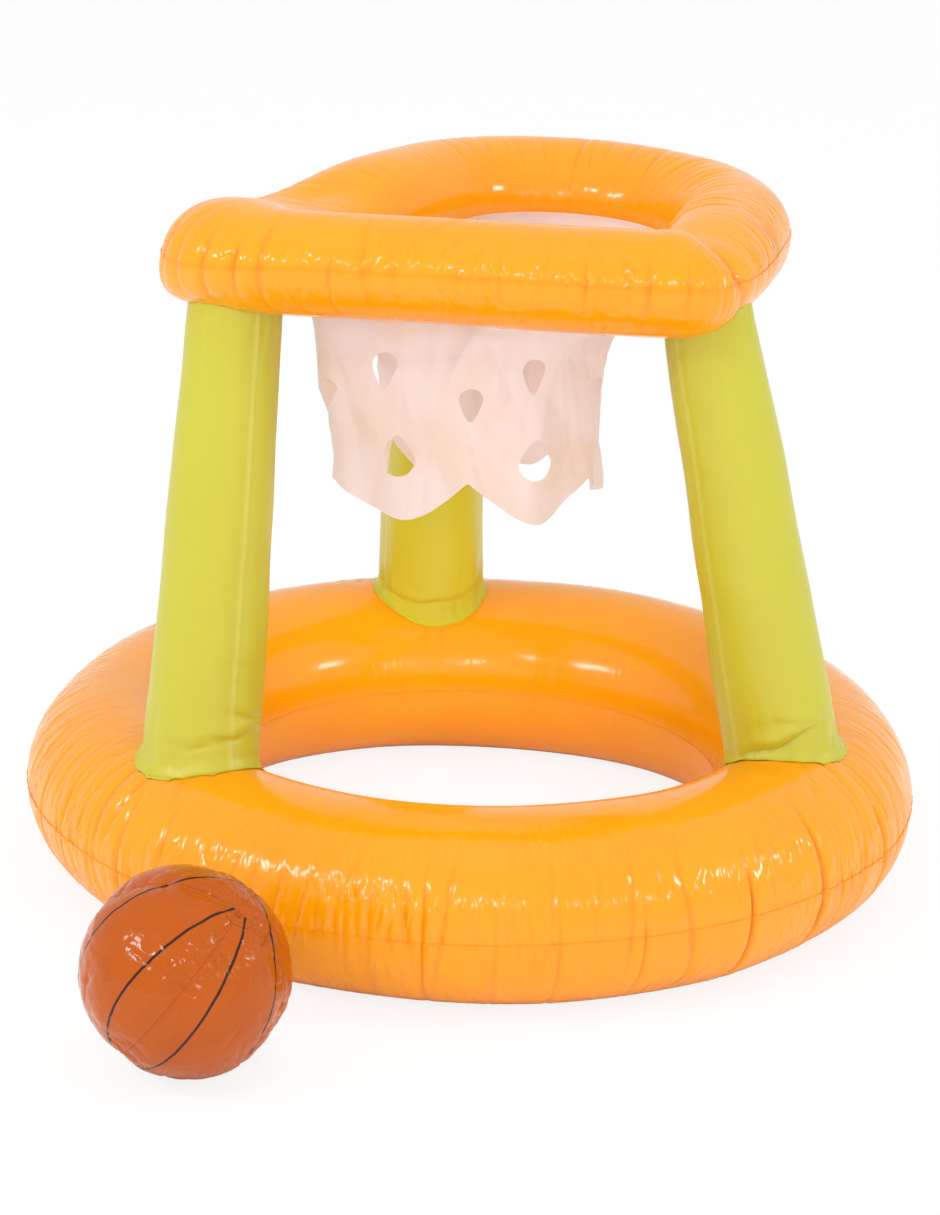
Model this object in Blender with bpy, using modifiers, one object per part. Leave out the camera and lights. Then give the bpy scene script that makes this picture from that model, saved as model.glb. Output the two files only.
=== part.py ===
"""Floating basketball hoop: an inflated ring base, three inflated legs, an inflated
hoop ring with a film net, and an inflated ball. Metres, +Z up, front towards -Y."""

import math

import bmesh
import bpy
from mathutils import Matrix, Vector

# Clearances and film
GAP = 0.0003                       # between any two pieces that touch on the real product
FILM = 0.0008                      # wall of every air chamber
LIP = 0.0015                       # width of the weld lip along a seam

# Base ring
BASE_DIAMETER = 0.670
BASE_HALF_WIDTH = 0.0726           # half the tube's width
BASE_HALF_HEIGHT = 0.0680          # half the tube's height, before it rests
BASE_REST_ANGLE = math.radians(75) # where the section starts to lie flat on the ground
BASE_STEPS = 56

# Legs, left, right and back: feet about 120 degrees apart near the base ring's crown, heads
# under the hoop ring's two front corners and its back arc
LEG_NAMES = ("left", "right", "back")
LEG_FOOT_TURNS = (210.1, 329.2, 90.0)
LEG_FOOT_INSETS = (0.0118, 0.0169, 0.0109)  # from the base tube's centre line
LEG_HEAD_TURNS = (194.0, -1.4, 126.3)
LEG_HEAD_OUTS = (-0.0063, 0.0100, 0.0016)   # from the hoop tube's centre line
LEG_FOOT_RADIUS = 0.0420
LEG_WAIST_RADIUS = 0.0375
LEG_HEAD_INSET = 0.0115            # how much narrower than the hoop's tube a leg's head is
LEG_FOOT_LIP = 0.0050              # weld lip round the foot
LEG_BURY = 0.040                   # how far the uncut leg runs into the rings
LEG_STEPS = 24
AIR_HOLE_RADIUS = 0.012            # lets the legs fill from the hoop ring

# Hoop ring, seen from above: straight runs joining two tight front corners and a round back
HOOP_HEIGHT = 0.485                # height of the tube's centre
HOOP_LEAN_BACK = math.radians(1.1) # the inflated ring hangs a little lower at the back
HOOP_LEAN_RIGHT = math.radians(1.6)
HOOP_LEFT_CORNER = (-0.166, -0.077)
HOOP_RIGHT_CORNER = (0.103, -0.121)
HOOP_CORNER_RADIUS = 0.031
HOOP_BACK_CENTRE = (0.061, 0.037)
HOOP_BACK_RADIUS = 0.125
HOOP_HALF_WIDTH = 0.0440
HOOP_HALF_HEIGHTS = (0.0370, 0.0420)  # at the front and at the back
HOOP_ROLLS = (math.radians(17), math.radians(8))  # how far the outer seam has rolled up
HOOP_SWELL = (-0.100, 0.030)       # between these the front's values turn into the back's
HOOP_INNER_CORNER_RADIUS = 0.008
HOOP_SECTION_STEPS = 8
HOOP_CORNER_STEPS = 6
HOOP_STRAIGHT_STEPS = 5
HOOP_BACK_STEPS = 16
# Creases where the left side's tube and the right side's meet the front corners
HOOP_LEFT_CREASE = 0.40            # share of the height lost
HOOP_LEFT_CREASE_REACHES = (0.090, 0.030)  # before and after it, along the ring
HOOP_RIGHT_CREASE = 0.16
HOOP_RIGHT_CREASE_REACHES = (0.025, 0.030)

# Net: a film tube with scallops and staggered teardrop holes
NET_FILM = 0.0006
NET_HEM_HEIGHT = 0.288             # of a lobe's lowest point
NET_SCALLOP = 0.029
NET_LOBES = 6
NET_MOUTH_INSET = 0.0040           # how much tighter than the hoop's hole its round part hangs
NET_MOUTH_DRIFT = (-0.0465, -0.0485)       # its middle, from the hoop's back centre
NET_CORNER_DRIFT = (0.0680, 0.0265)        # its left corner, from the hoop's left corner
NET_CORNER_RADIUS = 0.0140
NET_START = -0.0170                # where the front's notch hangs, left or right
NET_FOLD = 0.0060
NET_STEPS_PER_LOBE = 10
NET_ROWS = (0.0, 0.10, 0.22, 0.42, 0.70, 1.0)
NET_GATHERED = 0.42                # share of the way down where the mouth's outline is reached
# Rows of teardrops: share of the way down, width, length and shift in lobes
TEARDROP_DOWNS = (0.765, 0.535, 0.412)
TEARDROP_WIDTHS = (0.029, 0.019, 0.019)
TEARDROP_LENGTHS = (0.034, 0.025, 0.027)
TEARDROP_SHIFTS = (0.5, 0.0, 0.5)
TEARDROP_TIP = 0.0016
TEARDROP_DEPTH = 0.015             # how far each side of the film its cutter reaches

# Ball
BALL_RADIUS = 0.0715
BALL_AWAY = 0.0417                 # from the base ring
BALL_TURN = math.radians(236.8)    # its direction from the base ring's axis
BALL_POLE_TURN = math.radians(-43)
BALL_POLE_LIFT = math.radians(50)
BALL_SEAM_TURN = math.radians(-159)
BALL_GORES = 4
BALL_GORE_STEPS = 6
BALL_ARC_STEPS = 10
BALL_SEAM_GAP = math.radians(0.5)
POLE_PATCH_ANGLE = math.radians(9)
BALL_FREE_LIFT = 0.60              # how far the ball's stand-in joint lifts it

# Air valves
VALVE_BORE = 0.0040
VALVE_NECK = 0.0054
VALVE_DEPTH = 0.0040
VALVE_RISE = 0.0032
VALVE_FLANGE = 0.0150
VALVE_FLANGE_FILM = 0.0008
STOPPER_CAP = 0.0062
STOPPER_CAP_FILM = 0.0012
PLUG_TOP = 0.0036
PLUG_TIP = 0.0030
PLUG_LENGTH = 0.0050
HINGE_REACH = 0.0120               # from the valve's axis to the strap's hinge
STRAP_WIDTH = 0.0040
STRAP_FILM = 0.0009
VALVE_STEPS = 20
BASE_VALVE_TURN = math.radians(58)
BASE_VALVE_LIFT = math.radians(37.5)
HOOP_VALVE_TURN = math.radians(67)
HOOP_VALVE_LIFT = math.radians(31)
BALL_VALVE_TURN = math.radians(75)
BALL_VALVE_LIFT = math.radians(20)

BASE_REST_DROP = BASE_HALF_HEIGHT * math.sin(BASE_REST_ANGLE)
BASE_RING_RADIUS = BASE_DIAMETER / 2 - LIP - BASE_HALF_WIDTH
BALL_DISTANCE = BASE_DIAMETER / 2 + BALL_AWAY + BALL_RADIUS
BALL_REACH = BALL_RADIUS - BALL_DISTANCE * math.sin(BALL_TURN)
BASE_CENTRE = Vector((0, (BALL_REACH - BASE_DIAMETER / 2) / 2, BASE_REST_DROP))
HOOP_CENTRE = Vector((BASE_CENTRE.x, BASE_CENTRE.y, HOOP_HEIGHT))
BALL_CENTRE = Vector((BASE_CENTRE.x + BALL_DISTANCE * math.cos(BALL_TURN),
                      BASE_CENTRE.y + BALL_DISTANCE * math.sin(BALL_TURN), BALL_RADIUS))
LEG_HEAD_RADIUS = HOOP_HALF_WIDTH - LEG_HEAD_INSET


def clear_scene():
    for obj in list(bpy.data.objects):
        bpy.data.objects.remove(obj)


def new_collection(name):
    collection = bpy.data.collections.new(name)
    bpy.context.scene.collection.children.link(collection)
    return collection


def linear(channel):
    return channel / 12.92 if channel <= 0.04045 else ((channel + 0.055) / 1.055) ** 2.4


def vinyl(name, hex_colour, roughness=0.25, alpha=1.0):
    """Glossy PVC film of one colour."""
    material = bpy.data.materials.new(name)
    material.use_nodes = True
    shader = material.node_tree.nodes["Principled BSDF"]
    channels = [linear(int(hex_colour[i:i + 2], 16) / 255) for i in (0, 2, 4)]
    shader.inputs["Base Color"].default_value = (*channels, 1)
    shader.inputs["Roughness"].default_value = roughness
    shader.inputs["Alpha"].default_value = alpha
    return material


def add_mesh(name, points, faces, place=Matrix.Identity(4), edges=()):
    """A new object of the toy from points and faces, at a place in the world."""
    mesh = bpy.data.meshes.new(name)
    mesh.from_pydata([tuple(p) for p in points], list(edges), faces)
    obj = bpy.data.objects.new(name, mesh)
    obj.matrix_world = place
    PARTS.objects.link(obj)
    return obj


def as_cutter(obj):
    PARTS.objects.unlink(obj)
    CUTTERS.objects.link(obj)
    obj.hide_render = True
    obj.display_type = "WIRE"
    return obj


def finish(obj, material, parent=None):
    obj.data.materials.append(material)
    obj.data.shade_smooth()
    obj.data.set_sharp_from_angle(angle=math.radians(40))
    if parent:
        place = obj.matrix_world.copy()
        obj.parent = parent
        obj.matrix_parent_inverse = parent.matrix_world.inverted()
        obj.matrix_world = place
    return obj


def boolean(obj, cutter, operation="DIFFERENCE"):
    modifier = obj.modifiers.new(operation.title(), "BOOLEAN")
    modifier.operation = operation
    modifier.solver = "EXACT"
    modifier.object = cutter


def turned(name, profile, place, steps, angle=2 * math.pi, closed=True, thickness=0):
    """A profile in the XZ plane turned about Z. It runs down its outer side."""
    links = [(i, i + 1) for i in range(len(profile) - 1)]
    if closed:
        links.append((len(profile) - 1, 0))
    obj = add_mesh(name, [(x, 0, z) for x, z in profile], [], place, links)
    screw = obj.modifiers.new("Turn", "SCREW")
    screw.angle = angle
    screw.steps = steps
    screw.render_steps = steps
    screw.use_merge_vertices = True
    screw.merge_threshold = 0.00001
    if thickness:
        shell = obj.modifiers.new("Film", "SOLIDIFY")
        shell.thickness = thickness
        shell.offset = -1
        shell.use_even_offset = True
    return obj


def rod(name, radius, low, high, place, steps=VALVE_STEPS):
    """A plain round bar along Z of a place, used as a cutter."""
    return as_cutter(turned(name, [(0, high), (radius, high), (radius, low), (0, low)], place, steps, closed=False))


def loft(name, sections, place):
    """A closed ring of closed sections, which run up their outer side."""
    count = len(sections[0])
    points = [p for section in sections for p in section]
    faces = []
    for i in range(len(sections)):
        for k in range(count):
            a = i * count + k
            b = i * count + (k + 1) % count
            c = (i + 1) % len(sections) * count
            faces.append((a, c + k, c + (k + 1) % count, b))
    return add_mesh(name, points, faces, place)


def frame_at(origin, normal, along):
    """A place with Z along the normal and X as near as may be to the given direction."""
    z = Vector(normal).normalized()
    x = (Vector(along) - z * z.dot(Vector(along))).normalized()
    y = z.cross(x)
    return Matrix.Translation(origin) @ Matrix((x, y, z)).transposed().to_4x4()


def ellipse_normal(half_width, half_height, angle):
    return Vector((math.cos(angle) / half_width, math.sin(angle) / half_height)).normalized()


def ellipse_point(half_width, half_height, angle, offset=0.0):
    """A point of a tube's section, moved out along the section's normal."""
    point = Vector((half_width * math.cos(angle), half_height * math.sin(angle)))
    return point + offset * ellipse_normal(half_width, half_height, angle)


def film_section(half_width, half_height, angles, upper=True, floor=None):
    """The closed section of one half of a ring: weld lip, outside, weld lip and inside."""
    side = 1 if upper else -1
    face = GAP / 2
    outside = [ellipse_point(half_width, half_height, a) for a in angles]
    inside = [ellipse_point(half_width, half_height, a, -FILM) for a in reversed(angles)]
    root = half_width - (half_width - outside[0].x) * (face + FILM) / outside[0].y
    if floor is not None:
        outside = [Vector((p.x, min(p.y, floor))) for p in outside]
        inside = [Vector((p.x, min(p.y, floor - FILM))) for p in inside]
    lip = half_width + LIP
    wall = half_width - FILM
    points = [(lip, face), (lip, face + FILM), (root, face + FILM)] + [tuple(p) for p in outside]
    points += [(-root, face + FILM), (-lip, face + FILM), (-lip, face), (-wall, face)]
    points += [tuple(p) for p in inside] + [(wall, face)]
    points = [(x, side * z) for x, z in points]
    return points if upper else points[::-1]


# Base ring

def base_angles():
    quarter = [BASE_REST_ANGLE * k / 4 for k in range(1, 5)]
    return quarter + [math.pi / 2] + [math.pi - a for a in reversed(quarter)]


def base_envelope(name, offset):
    """The base ring's outer form grown by an offset, facet for facet."""
    half = base_angles()
    angles = [0.0] + half + [math.pi] + [math.pi + a for a in half]
    profile = [ellipse_point(BASE_HALF_WIDTH, BASE_HALF_HEIGHT, a, offset) for a in reversed(angles)]
    profile = [(BASE_RING_RADIUS + p.x, p.y) for p in profile]
    return as_cutter(turned(name, profile, Matrix.Translation(BASE_CENTRE), BASE_STEPS))


def base_film(name, upper):
    floor = None if upper else BASE_REST_DROP
    section = film_section(BASE_HALF_WIDTH, BASE_HALF_HEIGHT, base_angles(), upper, floor)
    profile = [(BASE_RING_RADIUS + x, z) for x, z in reversed(section)]
    return turned(name, profile, Matrix.Translation(BASE_CENTRE), BASE_STEPS)


# Hoop ring

def hull_line(circles, arc_steps, straight_steps, least_radius=0.0):
    """Points round a loop of circles joined by tangent lines, counter-clockwise. Where a
    corner would turn inside out, its centre moves in along the corner's bisector."""
    count = len(circles)
    turns = []
    for i in range(count):
        (x0, y0, r0), (x1, y1, r1) = circles[i], circles[(i + 1) % count]
        span = math.hypot(x1 - x0, y1 - y0)
        turns.append(math.atan2(y1 - y0, x1 - x0) - math.acos((r0 - r1) / span))
    arcs = []
    for i, (x, y, radius) in enumerate(circles):
        start = turns[i - 1]
        end = turns[i]
        while end < start:
            end += 2 * math.pi
        if radius < least_radius:
            middle = (start + end) / 2
            shift = (least_radius - radius) / math.cos((end - start) / 2)
            x -= shift * math.cos(middle)
            y -= shift * math.sin(middle)
            radius = least_radius
        arc = []
        for k in range(arc_steps[i] + 1):
            turn = start + (end - start) * k / arc_steps[i]
            arc.append(Vector((x + radius * math.cos(turn), y + radius * math.sin(turn))))
        arcs.append(arc)
    line = []
    for i, arc in enumerate(arcs):
        line += arc
        ahead = arcs[(i + 1) % count][0]
        for k in range(1, straight_steps):
            line.append(arc[-1].lerp(ahead, k / straight_steps))
    return line


def hoop_outline(offset):
    """Points round the hoop ring's line moved sideways: left corner, right corner, back."""
    circles = [(*corner, HOOP_CORNER_RADIUS + offset) for corner in (HOOP_LEFT_CORNER, HOOP_RIGHT_CORNER)]
    circles.append((*HOOP_BACK_CENTRE, HOOP_BACK_RADIUS + offset))
    steps = (HOOP_CORNER_STEPS, HOOP_CORNER_STEPS, HOOP_BACK_STEPS)
    return hull_line(circles, steps, HOOP_STRAIGHT_STEPS, HOOP_INNER_CORNER_RADIUS)


def hoop_angles():
    return [math.pi * k / HOOP_SECTION_STEPS for k in range(1, HOOP_SECTION_STEPS)]


def hoop_swell(y):
    """The tube's half height and roll at a place between the front and the back."""
    share = min(1, max(0, (y - HOOP_SWELL[0]) / (HOOP_SWELL[1] - HOOP_SWELL[0])))
    share = share * share * (3 - 2 * share)
    front, back = HOOP_HALF_HEIGHTS
    roll_front, roll_back = HOOP_ROLLS
    return front + (back - front) * share, roll_front + (roll_back - roll_front) * share


def rolled(x, z, roll):
    return x * math.cos(roll) - z * math.sin(roll), x * math.sin(roll) + z * math.cos(roll)


def hoop_sections(section_of):
    """The ring's sections in the hoop's own frame. section_of takes a half width and height."""
    pairs = list(zip(hoop_outline(HOOP_HALF_WIDTH), hoop_outline(-HOOP_HALF_WIDTH)))
    middles = [(outer + inner) / 2 for outer, inner in pairs]
    along = [0.0]
    for a, b in zip(middles, middles[1:] + middles[:1]):
        along.append(along[-1] + (b - a).length)
    total = along.pop()
    creases = ((0, HOOP_LEFT_CREASE, HOOP_LEFT_CREASE_REACHES),
               (2 * HOOP_CORNER_STEPS + HOOP_STRAIGHT_STEPS, HOOP_RIGHT_CREASE, HOOP_RIGHT_CREASE_REACHES))
    sections = []
    for i, (outer, inner) in enumerate(pairs):
        across = (outer - inner) / 2
        half_height, roll = hoop_swell(middles[i].y)
        top = 1.0
        for station, depth, (before, after) in creases:
            away = (along[i] - along[station] + total / 2) % total - total / 2
            top -= depth * math.exp(-(away / (after if away > 0 else before)) ** 2)
        points = []
        for x, z in section_of(across.length, half_height):
            x, z = rolled(x, z * top if z > 0 else z, roll)
            points.append((*(middles[i] + x * across.normalized()), z))
        sections.append(points)
    return sections


def hoop_place():
    lean = Matrix.Rotation(-HOOP_LEAN_BACK, 4, "X") @ Matrix.Rotation(HOOP_LEAN_RIGHT, 4, "Y")
    return Matrix.Translation(HOOP_CENTRE) @ lean


def hoop_envelope(name, offset):
    half = hoop_angles()
    angles = [0.0] + half + [math.pi] + [math.pi + a for a in half]

    def section_of(half_width, half_height):
        return [tuple(ellipse_point(half_width, half_height, a, offset)) for a in angles]

    return as_cutter(loft(name, hoop_sections(section_of), hoop_place()))


def hoop_film(name, upper):
    def section_of(half_width, half_height):
        return film_section(half_width, half_height, hoop_angles(), upper)

    return loft(name, hoop_sections(section_of), hoop_place())


# Legs

def leg_ends(index):
    """The middles of a leg's foot, near the base's crown, and head, under the hoop's tube."""
    turn = math.radians(LEG_FOOT_TURNS[index])
    reach = BASE_RING_RADIUS - LEG_FOOT_INSETS[index]
    foot = BASE_CENTRE + Vector((reach * math.cos(turn), reach * math.sin(turn), BASE_HALF_HEIGHT))
    x, y = (HOOP_LEFT_CORNER, HOOP_RIGHT_CORNER, HOOP_BACK_CENTRE)[index]
    turn = math.radians(LEG_HEAD_TURNS[index])
    reach = (HOOP_BACK_RADIUS if index == 2 else HOOP_CORNER_RADIUS) + LEG_HEAD_OUTS[index]
    head = hoop_place() @ Vector((x + reach * math.cos(turn), y + reach * math.sin(turn), -HOOP_HALF_HEIGHTS[0]))
    return foot, head


def build_leg(index, parent):
    name = "leg_" + LEG_NAMES[index]
    foot, head = leg_ends(index)
    length = (head - foot).length
    place = frame_at(foot, head - foot, (1, 0, 0))

    outline = [(LEG_HEAD_RADIUS, length + LEG_BURY), (LEG_HEAD_RADIUS, length - LEG_HEAD_RADIUS / 2),
               (LEG_WAIST_RADIUS, length / 2), (LEG_FOOT_RADIUS, LEG_FOOT_RADIUS / 2), (LEG_FOOT_RADIUS, -LEG_BURY)]
    profile = outline + [(radius - FILM, z) for radius, z in reversed(outline)]
    tube = turned(name + "_tube", profile, place, LEG_STEPS)
    boolean(tube, base_envelope(name + "_foot_cut", 2 * GAP + FILM))
    boolean(tube, hoop_envelope(name + "_head_cut", GAP))
    finish(tube, GREEN, parent)

    lip_radius = LEG_FOOT_RADIUS + LEG_FOOT_LIP
    disc_profile = [(0, LEG_BURY), (lip_radius, LEG_BURY), (lip_radius, -LEG_BURY), (0, -LEG_BURY)]
    disc = turned(name + "_foot_disc", disc_profile, place, 2 * LEG_STEPS, closed=False)
    boolean(disc, base_envelope(name + "_disc_top", GAP + FILM), "INTERSECT")
    boolean(disc, base_envelope(name + "_disc_bottom", GAP))
    finish(disc, GREEN, parent)
    return rod(name + "_air_hole", AIR_HOLE_RADIUS, length - LEG_BURY / 2, length + LEG_BURY / 2, place)


# Net

def net_rim():
    """The line just inside the hoop's inner weld lip, in the world."""
    sections = hoop_sections(lambda half_width, half_height: [(-half_width - LIP - GAP, 0)])
    return [hoop_place() @ Vector(section[0]) for section in sections]


def walk(line, share):
    """The point at a share of the way round a closed line, from its front point at NET_START."""
    start_x = BASE_CENTRE.x + NET_START
    count = len(line)
    for i in range(count):
        a, b = line[i], line[(i + 1) % count]
        if a.x <= start_x < b.x:
            first = a.lerp(b, (start_x - a.x) / (b.x - a.x))
            path = [first] + [line[(i + 1 + k) % count] for k in range(count)] + [first]
            break
    lengths = [(b - a).length for a, b in zip(path, path[1:])]
    left = share % 1 * sum(lengths)
    for a, b, length in zip(path, path[1:], lengths):
        if left <= length:
            return a.lerp(b, left / length)
        left -= length
    return first


def net_lines():
    """The line just inside the hoop's inner weld lip and the line the lower edge hangs on."""
    sections = hoop_sections(lambda half_width, half_height: [(-half_width - LIP - GAP, 0)])
    rim = [hoop_place() @ Vector(section[0]) for section in sections]
    corner = (HOOP_LEFT_CORNER[0] + NET_CORNER_DRIFT[0], HOOP_LEFT_CORNER[1] + NET_CORNER_DRIFT[1], NET_CORNER_RADIUS)
    main_radius = HOOP_BACK_RADIUS - HOOP_HALF_WIDTH - LIP - NET_MOUTH_INSET
    main = (HOOP_BACK_CENTRE[0] + NET_MOUTH_DRIFT[0], HOOP_BACK_CENTRE[1] + NET_MOUTH_DRIFT[1], main_radius)
    mouth = [BASE_CENTRE + Vector((p.x, p.y, 0)) for p in hull_line((corner, main), (8, 24), 6)]
    return rim, mouth


def net_point(round_share, down_share, rim, mouth):
    """A point of the net at a share of the way round and a share of the way down."""
    top = walk(rim, round_share)
    foot = walk(mouth, round_share)
    lobe = round_share * NET_LOBES - 0.5
    across = 2 * (lobe - round(lobe))
    hem = NET_HEM_HEIGHT + NET_SCALLOP * across * across
    gather = min(1.0, down_share / NET_GATHERED)
    point = top.lerp(foot, gather * gather * (3 - 2 * gather))
    point += net_outward(round_share, mouth) * NET_FOLD * math.cos(2 * math.pi * lobe) ** 2 * down_share
    point.z = top.z + (hem - top.z) * down_share
    return point


def net_outward(round_share, mouth):
    along = walk(mouth, round_share + 0.01) - walk(mouth, round_share - 0.01)
    return Vector((along.y, -along.x, 0)).normalized()


def teardrop(width, length):
    """Outline of a teardrop: a half circle below, drawn up to a small tip."""
    radius = width / 2
    turns = [math.pi * (1 + k / 7) for k in range(8)]
    points = [(radius * math.cos(turn), radius * math.sin(turn)) for turn in turns]
    shoulder = (radius + TEARDROP_TIP / 2) / 2
    rise = length - radius
    return points + [(shoulder * 1.15, rise / 2), (TEARDROP_TIP / 2, rise), (-TEARDROP_TIP / 2, rise),
                     (-shoulder * 1.15, rise / 2)]


def add_teardrop(name, place, width, length):
    """A teardrop bar through one side of the net, along X of its place."""
    outline = teardrop(width, length)
    count = len(outline)
    points = [(depth, x, z) for depth in (-TEARDROP_DEPTH, TEARDROP_DEPTH) for x, z in outline]
    faces = [tuple(range(count - 1, -1, -1)), tuple(range(count, 2 * count))]
    faces += [(k, (k + 1) % count, count + (k + 1) % count, count + k) for k in range(count)]
    return as_cutter(add_mesh(name, points, faces, place))


def build_net(parent):
    rim, mouth = net_lines()
    steps = NET_LOBES * NET_STEPS_PER_LOBE
    points = [net_point(k / steps, share, rim, mouth) for share in NET_ROWS for k in range(steps)]
    faces = []
    for row in range(len(NET_ROWS) - 1):
        for k in range(steps):
            a = row * steps + k
            b = row * steps + (k + 1) % steps
            faces.append((a + steps, b + steps, b, a))
    net = add_mesh("net_film", points, faces)
    shell = net.modifiers.new("Film", "SOLIDIFY")
    shell.thickness = NET_FILM
    shell.offset = -1
    rows = zip(TEARDROP_DOWNS, TEARDROP_WIDTHS, TEARDROP_LENGTHS, TEARDROP_SHIFTS)
    for row, (down, width, length, shift) in enumerate(rows):
        for lobe in range(NET_LOBES):
            share = (lobe + shift) / NET_LOBES
            middle = walk(mouth, share)
            top = walk(rim, share)
            height = top.z + (NET_HEM_HEIGHT - top.z) * down
            place = frame_at((middle.x, middle.y, height), (0, 0, 1), net_outward(share, mouth))
            boolean(net, add_teardrop(f"net_hole_{row + 1}_{lobe + 1}", place, width, length))
    return finish(net, NET, parent)


# Ball

def ball_place():
    pole = Vector((math.cos(BALL_POLE_LIFT) * math.cos(BALL_POLE_TURN),
                   math.cos(BALL_POLE_LIFT) * math.sin(BALL_POLE_TURN), math.sin(BALL_POLE_LIFT)))
    level = Vector((0, 0, 1)).cross(pole)
    return frame_at(BALL_CENTRE, pole, level) @ Matrix.Rotation(BALL_SEAM_TURN, 4, "Z")


def ball_arc(radius, start, end, steps):
    """An arc from near the upper pole to near the lower one."""
    angles = [start + (end - start) * k / steps for k in range(steps + 1)]
    return [(radius * math.sin(a), radius * math.cos(a)) for a in angles]


def ball_envelope(name, offset):
    arc = [(0, BALL_RADIUS + offset)] + ball_arc(BALL_RADIUS + offset, POLE_PATCH_ANGLE / 2,
                                                  math.pi - POLE_PATCH_ANGLE / 2, BALL_ARC_STEPS)
    arc.append((0, -BALL_RADIUS - offset))
    return as_cutter(turned(name, arc, ball_place(), BALL_GORES * BALL_GORE_STEPS, closed=False))


def build_ball(parent):
    place = ball_place()
    gores = []
    span = 2 * math.pi / BALL_GORES
    arc = ball_arc(BALL_RADIUS, POLE_PATCH_ANGLE / 2, math.pi - POLE_PATCH_ANGLE / 2, BALL_ARC_STEPS)
    for k in range(BALL_GORES):
        turn = Matrix.Rotation(span * k + BALL_SEAM_GAP / 2, 4, "Z")
        gore = turned(f"ball_gore_{k + 1}", arc, place @ turn, BALL_GORE_STEPS, span - BALL_SEAM_GAP,
                      closed=False, thickness=FILM)
        gores.append(finish(gore, BALL, parent))
    for name, flip in (("upper", 0), ("lower", math.pi)):
        radius = BALL_RADIUS + GAP + FILM
        cap = [(0, radius)] + ball_arc(radius, POLE_PATCH_ANGLE / 2, POLE_PATCH_ANGLE, 1)
        patch = turned(f"ball_{name}_pole_patch", cap, place @ Matrix.Rotation(flip, 4, "X"), VALVE_STEPS,
                       closed=False, thickness=FILM)
        finish(patch, BALL, parent)
    return gores


# Air valves

def build_valve(prefix, envelope, seat, strap_radius, films, material, parent):
    """A moulded valve in a film and its stopper, in a place whose Z is the film's outward
    normal and X the strap's direction. strap_radius is the film's curvature under the strap."""
    hole = rod(prefix + "_film_hole", VALVE_NECK + GAP, -4 * VALVE_DEPTH, 4 * VALVE_DEPTH, seat)
    for film in films:
        boolean(film, hole)

    flange_film = GAP + VALVE_FLANGE_FILM
    valve = turned(prefix + "_valve", [(0, VALVE_FLANGE), (VALVE_FLANGE, VALVE_FLANGE), (VALVE_FLANGE, -VALVE_FLANGE),
                                       (0, -VALVE_FLANGE)], seat, 2 * VALVE_STEPS, closed=False)
    boolean(valve, envelope(prefix + "_flange_top", flange_film), "INTERSECT")
    boolean(valve, envelope(prefix + "_flange_bottom", GAP))
    middle_of_wall = (VALVE_BORE + VALVE_NECK) / 2
    boolean(valve, rod(prefix + "_flange_hole", middle_of_wall, -VALVE_FLANGE, VALVE_FLANGE, seat))
    neck = as_cutter(turned(prefix + "_neck", [(VALVE_NECK, VALVE_RISE), (VALVE_NECK, -VALVE_DEPTH),
                                               (VALVE_BORE, -VALVE_DEPTH), (VALVE_BORE, VALVE_RISE)], seat, VALVE_STEPS))
    boolean(valve, neck, "UNION")
    finish(valve, material, parent)

    sag = HINGE_REACH ** 2 / (2 * strap_radius)
    barrel = STRAP_FILM * 0.6
    hinge = Vector((HINGE_REACH, 0, flange_film - sag + GAP + barrel))
    hinge_place = seat @ Matrix.Translation(hinge)
    cap_low = VALVE_RISE + GAP
    cap_high = cap_low + STOPPER_CAP_FILM
    profile = [(0, cap_high), (STOPPER_CAP, cap_high), (STOPPER_CAP, cap_low), (PLUG_TOP, cap_low),
               (PLUG_TIP, cap_low - PLUG_LENGTH), (0, cap_low - PLUG_LENGTH)]
    plug = as_cutter(turned(prefix + "_plug", profile, seat, VALVE_STEPS, closed=False))

    low = (cap_low + cap_high - STRAP_FILM) / 2 - hinge.z
    bend = Vector((-HINGE_REACH + STOPPER_CAP + STRAP_FILM, low))
    foot = Vector((0, -barrel))
    down = (foot - bend).normalized()
    thick = Vector((-down.y, down.x)) * STRAP_FILM
    outline = [Vector((-HINGE_REACH + STOPPER_CAP - 2 * STRAP_FILM, low)), bend, foot, foot + Vector((barrel, barrel)),
               Vector((0, 2 * barrel - barrel)), bend + thick + Vector((0, STRAP_FILM * 0.2)),
               Vector((-HINGE_REACH + STOPPER_CAP - 2 * STRAP_FILM, low + STRAP_FILM))]
    count = len(outline)
    points = [(p.x, side * STRAP_WIDTH / 2, p.y) for side in (-1, 1) for p in outline]
    faces = [tuple(range(count)), tuple(range(2 * count - 1, count - 1, -1))]
    faces += [(k, count + k, count + (k + 1) % count, (k + 1) % count) for k in range(count)]
    stopper = add_mesh(prefix + "_valve_stopper", points, faces, hinge_place)
    boolean(stopper, plug, "UNION")
    finish(stopper, material, parent)
    axis = (seat.to_3x3() @ Vector((0, 1, 0))).normalized()
    print(prefix, "hinge at", [round(v, 5) for v in hinge_place.translation], "axis", [round(v, 5) for v in axis])
    return stopper


def base_valve_seat():
    turn = Matrix.Translation(BASE_CENTRE) @ Matrix.Rotation(BASE_VALVE_TURN, 4, "Z")
    point = ellipse_point(BASE_HALF_WIDTH, BASE_HALF_HEIGHT, BASE_VALVE_LIFT)
    normal = ellipse_normal(BASE_HALF_WIDTH, BASE_HALF_HEIGHT, BASE_VALVE_LIFT)
    local = frame_at((BASE_RING_RADIUS + point.x, 0, point.y), (normal.x, 0, normal.y), (0, 1, 0))
    return turn @ local


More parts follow.
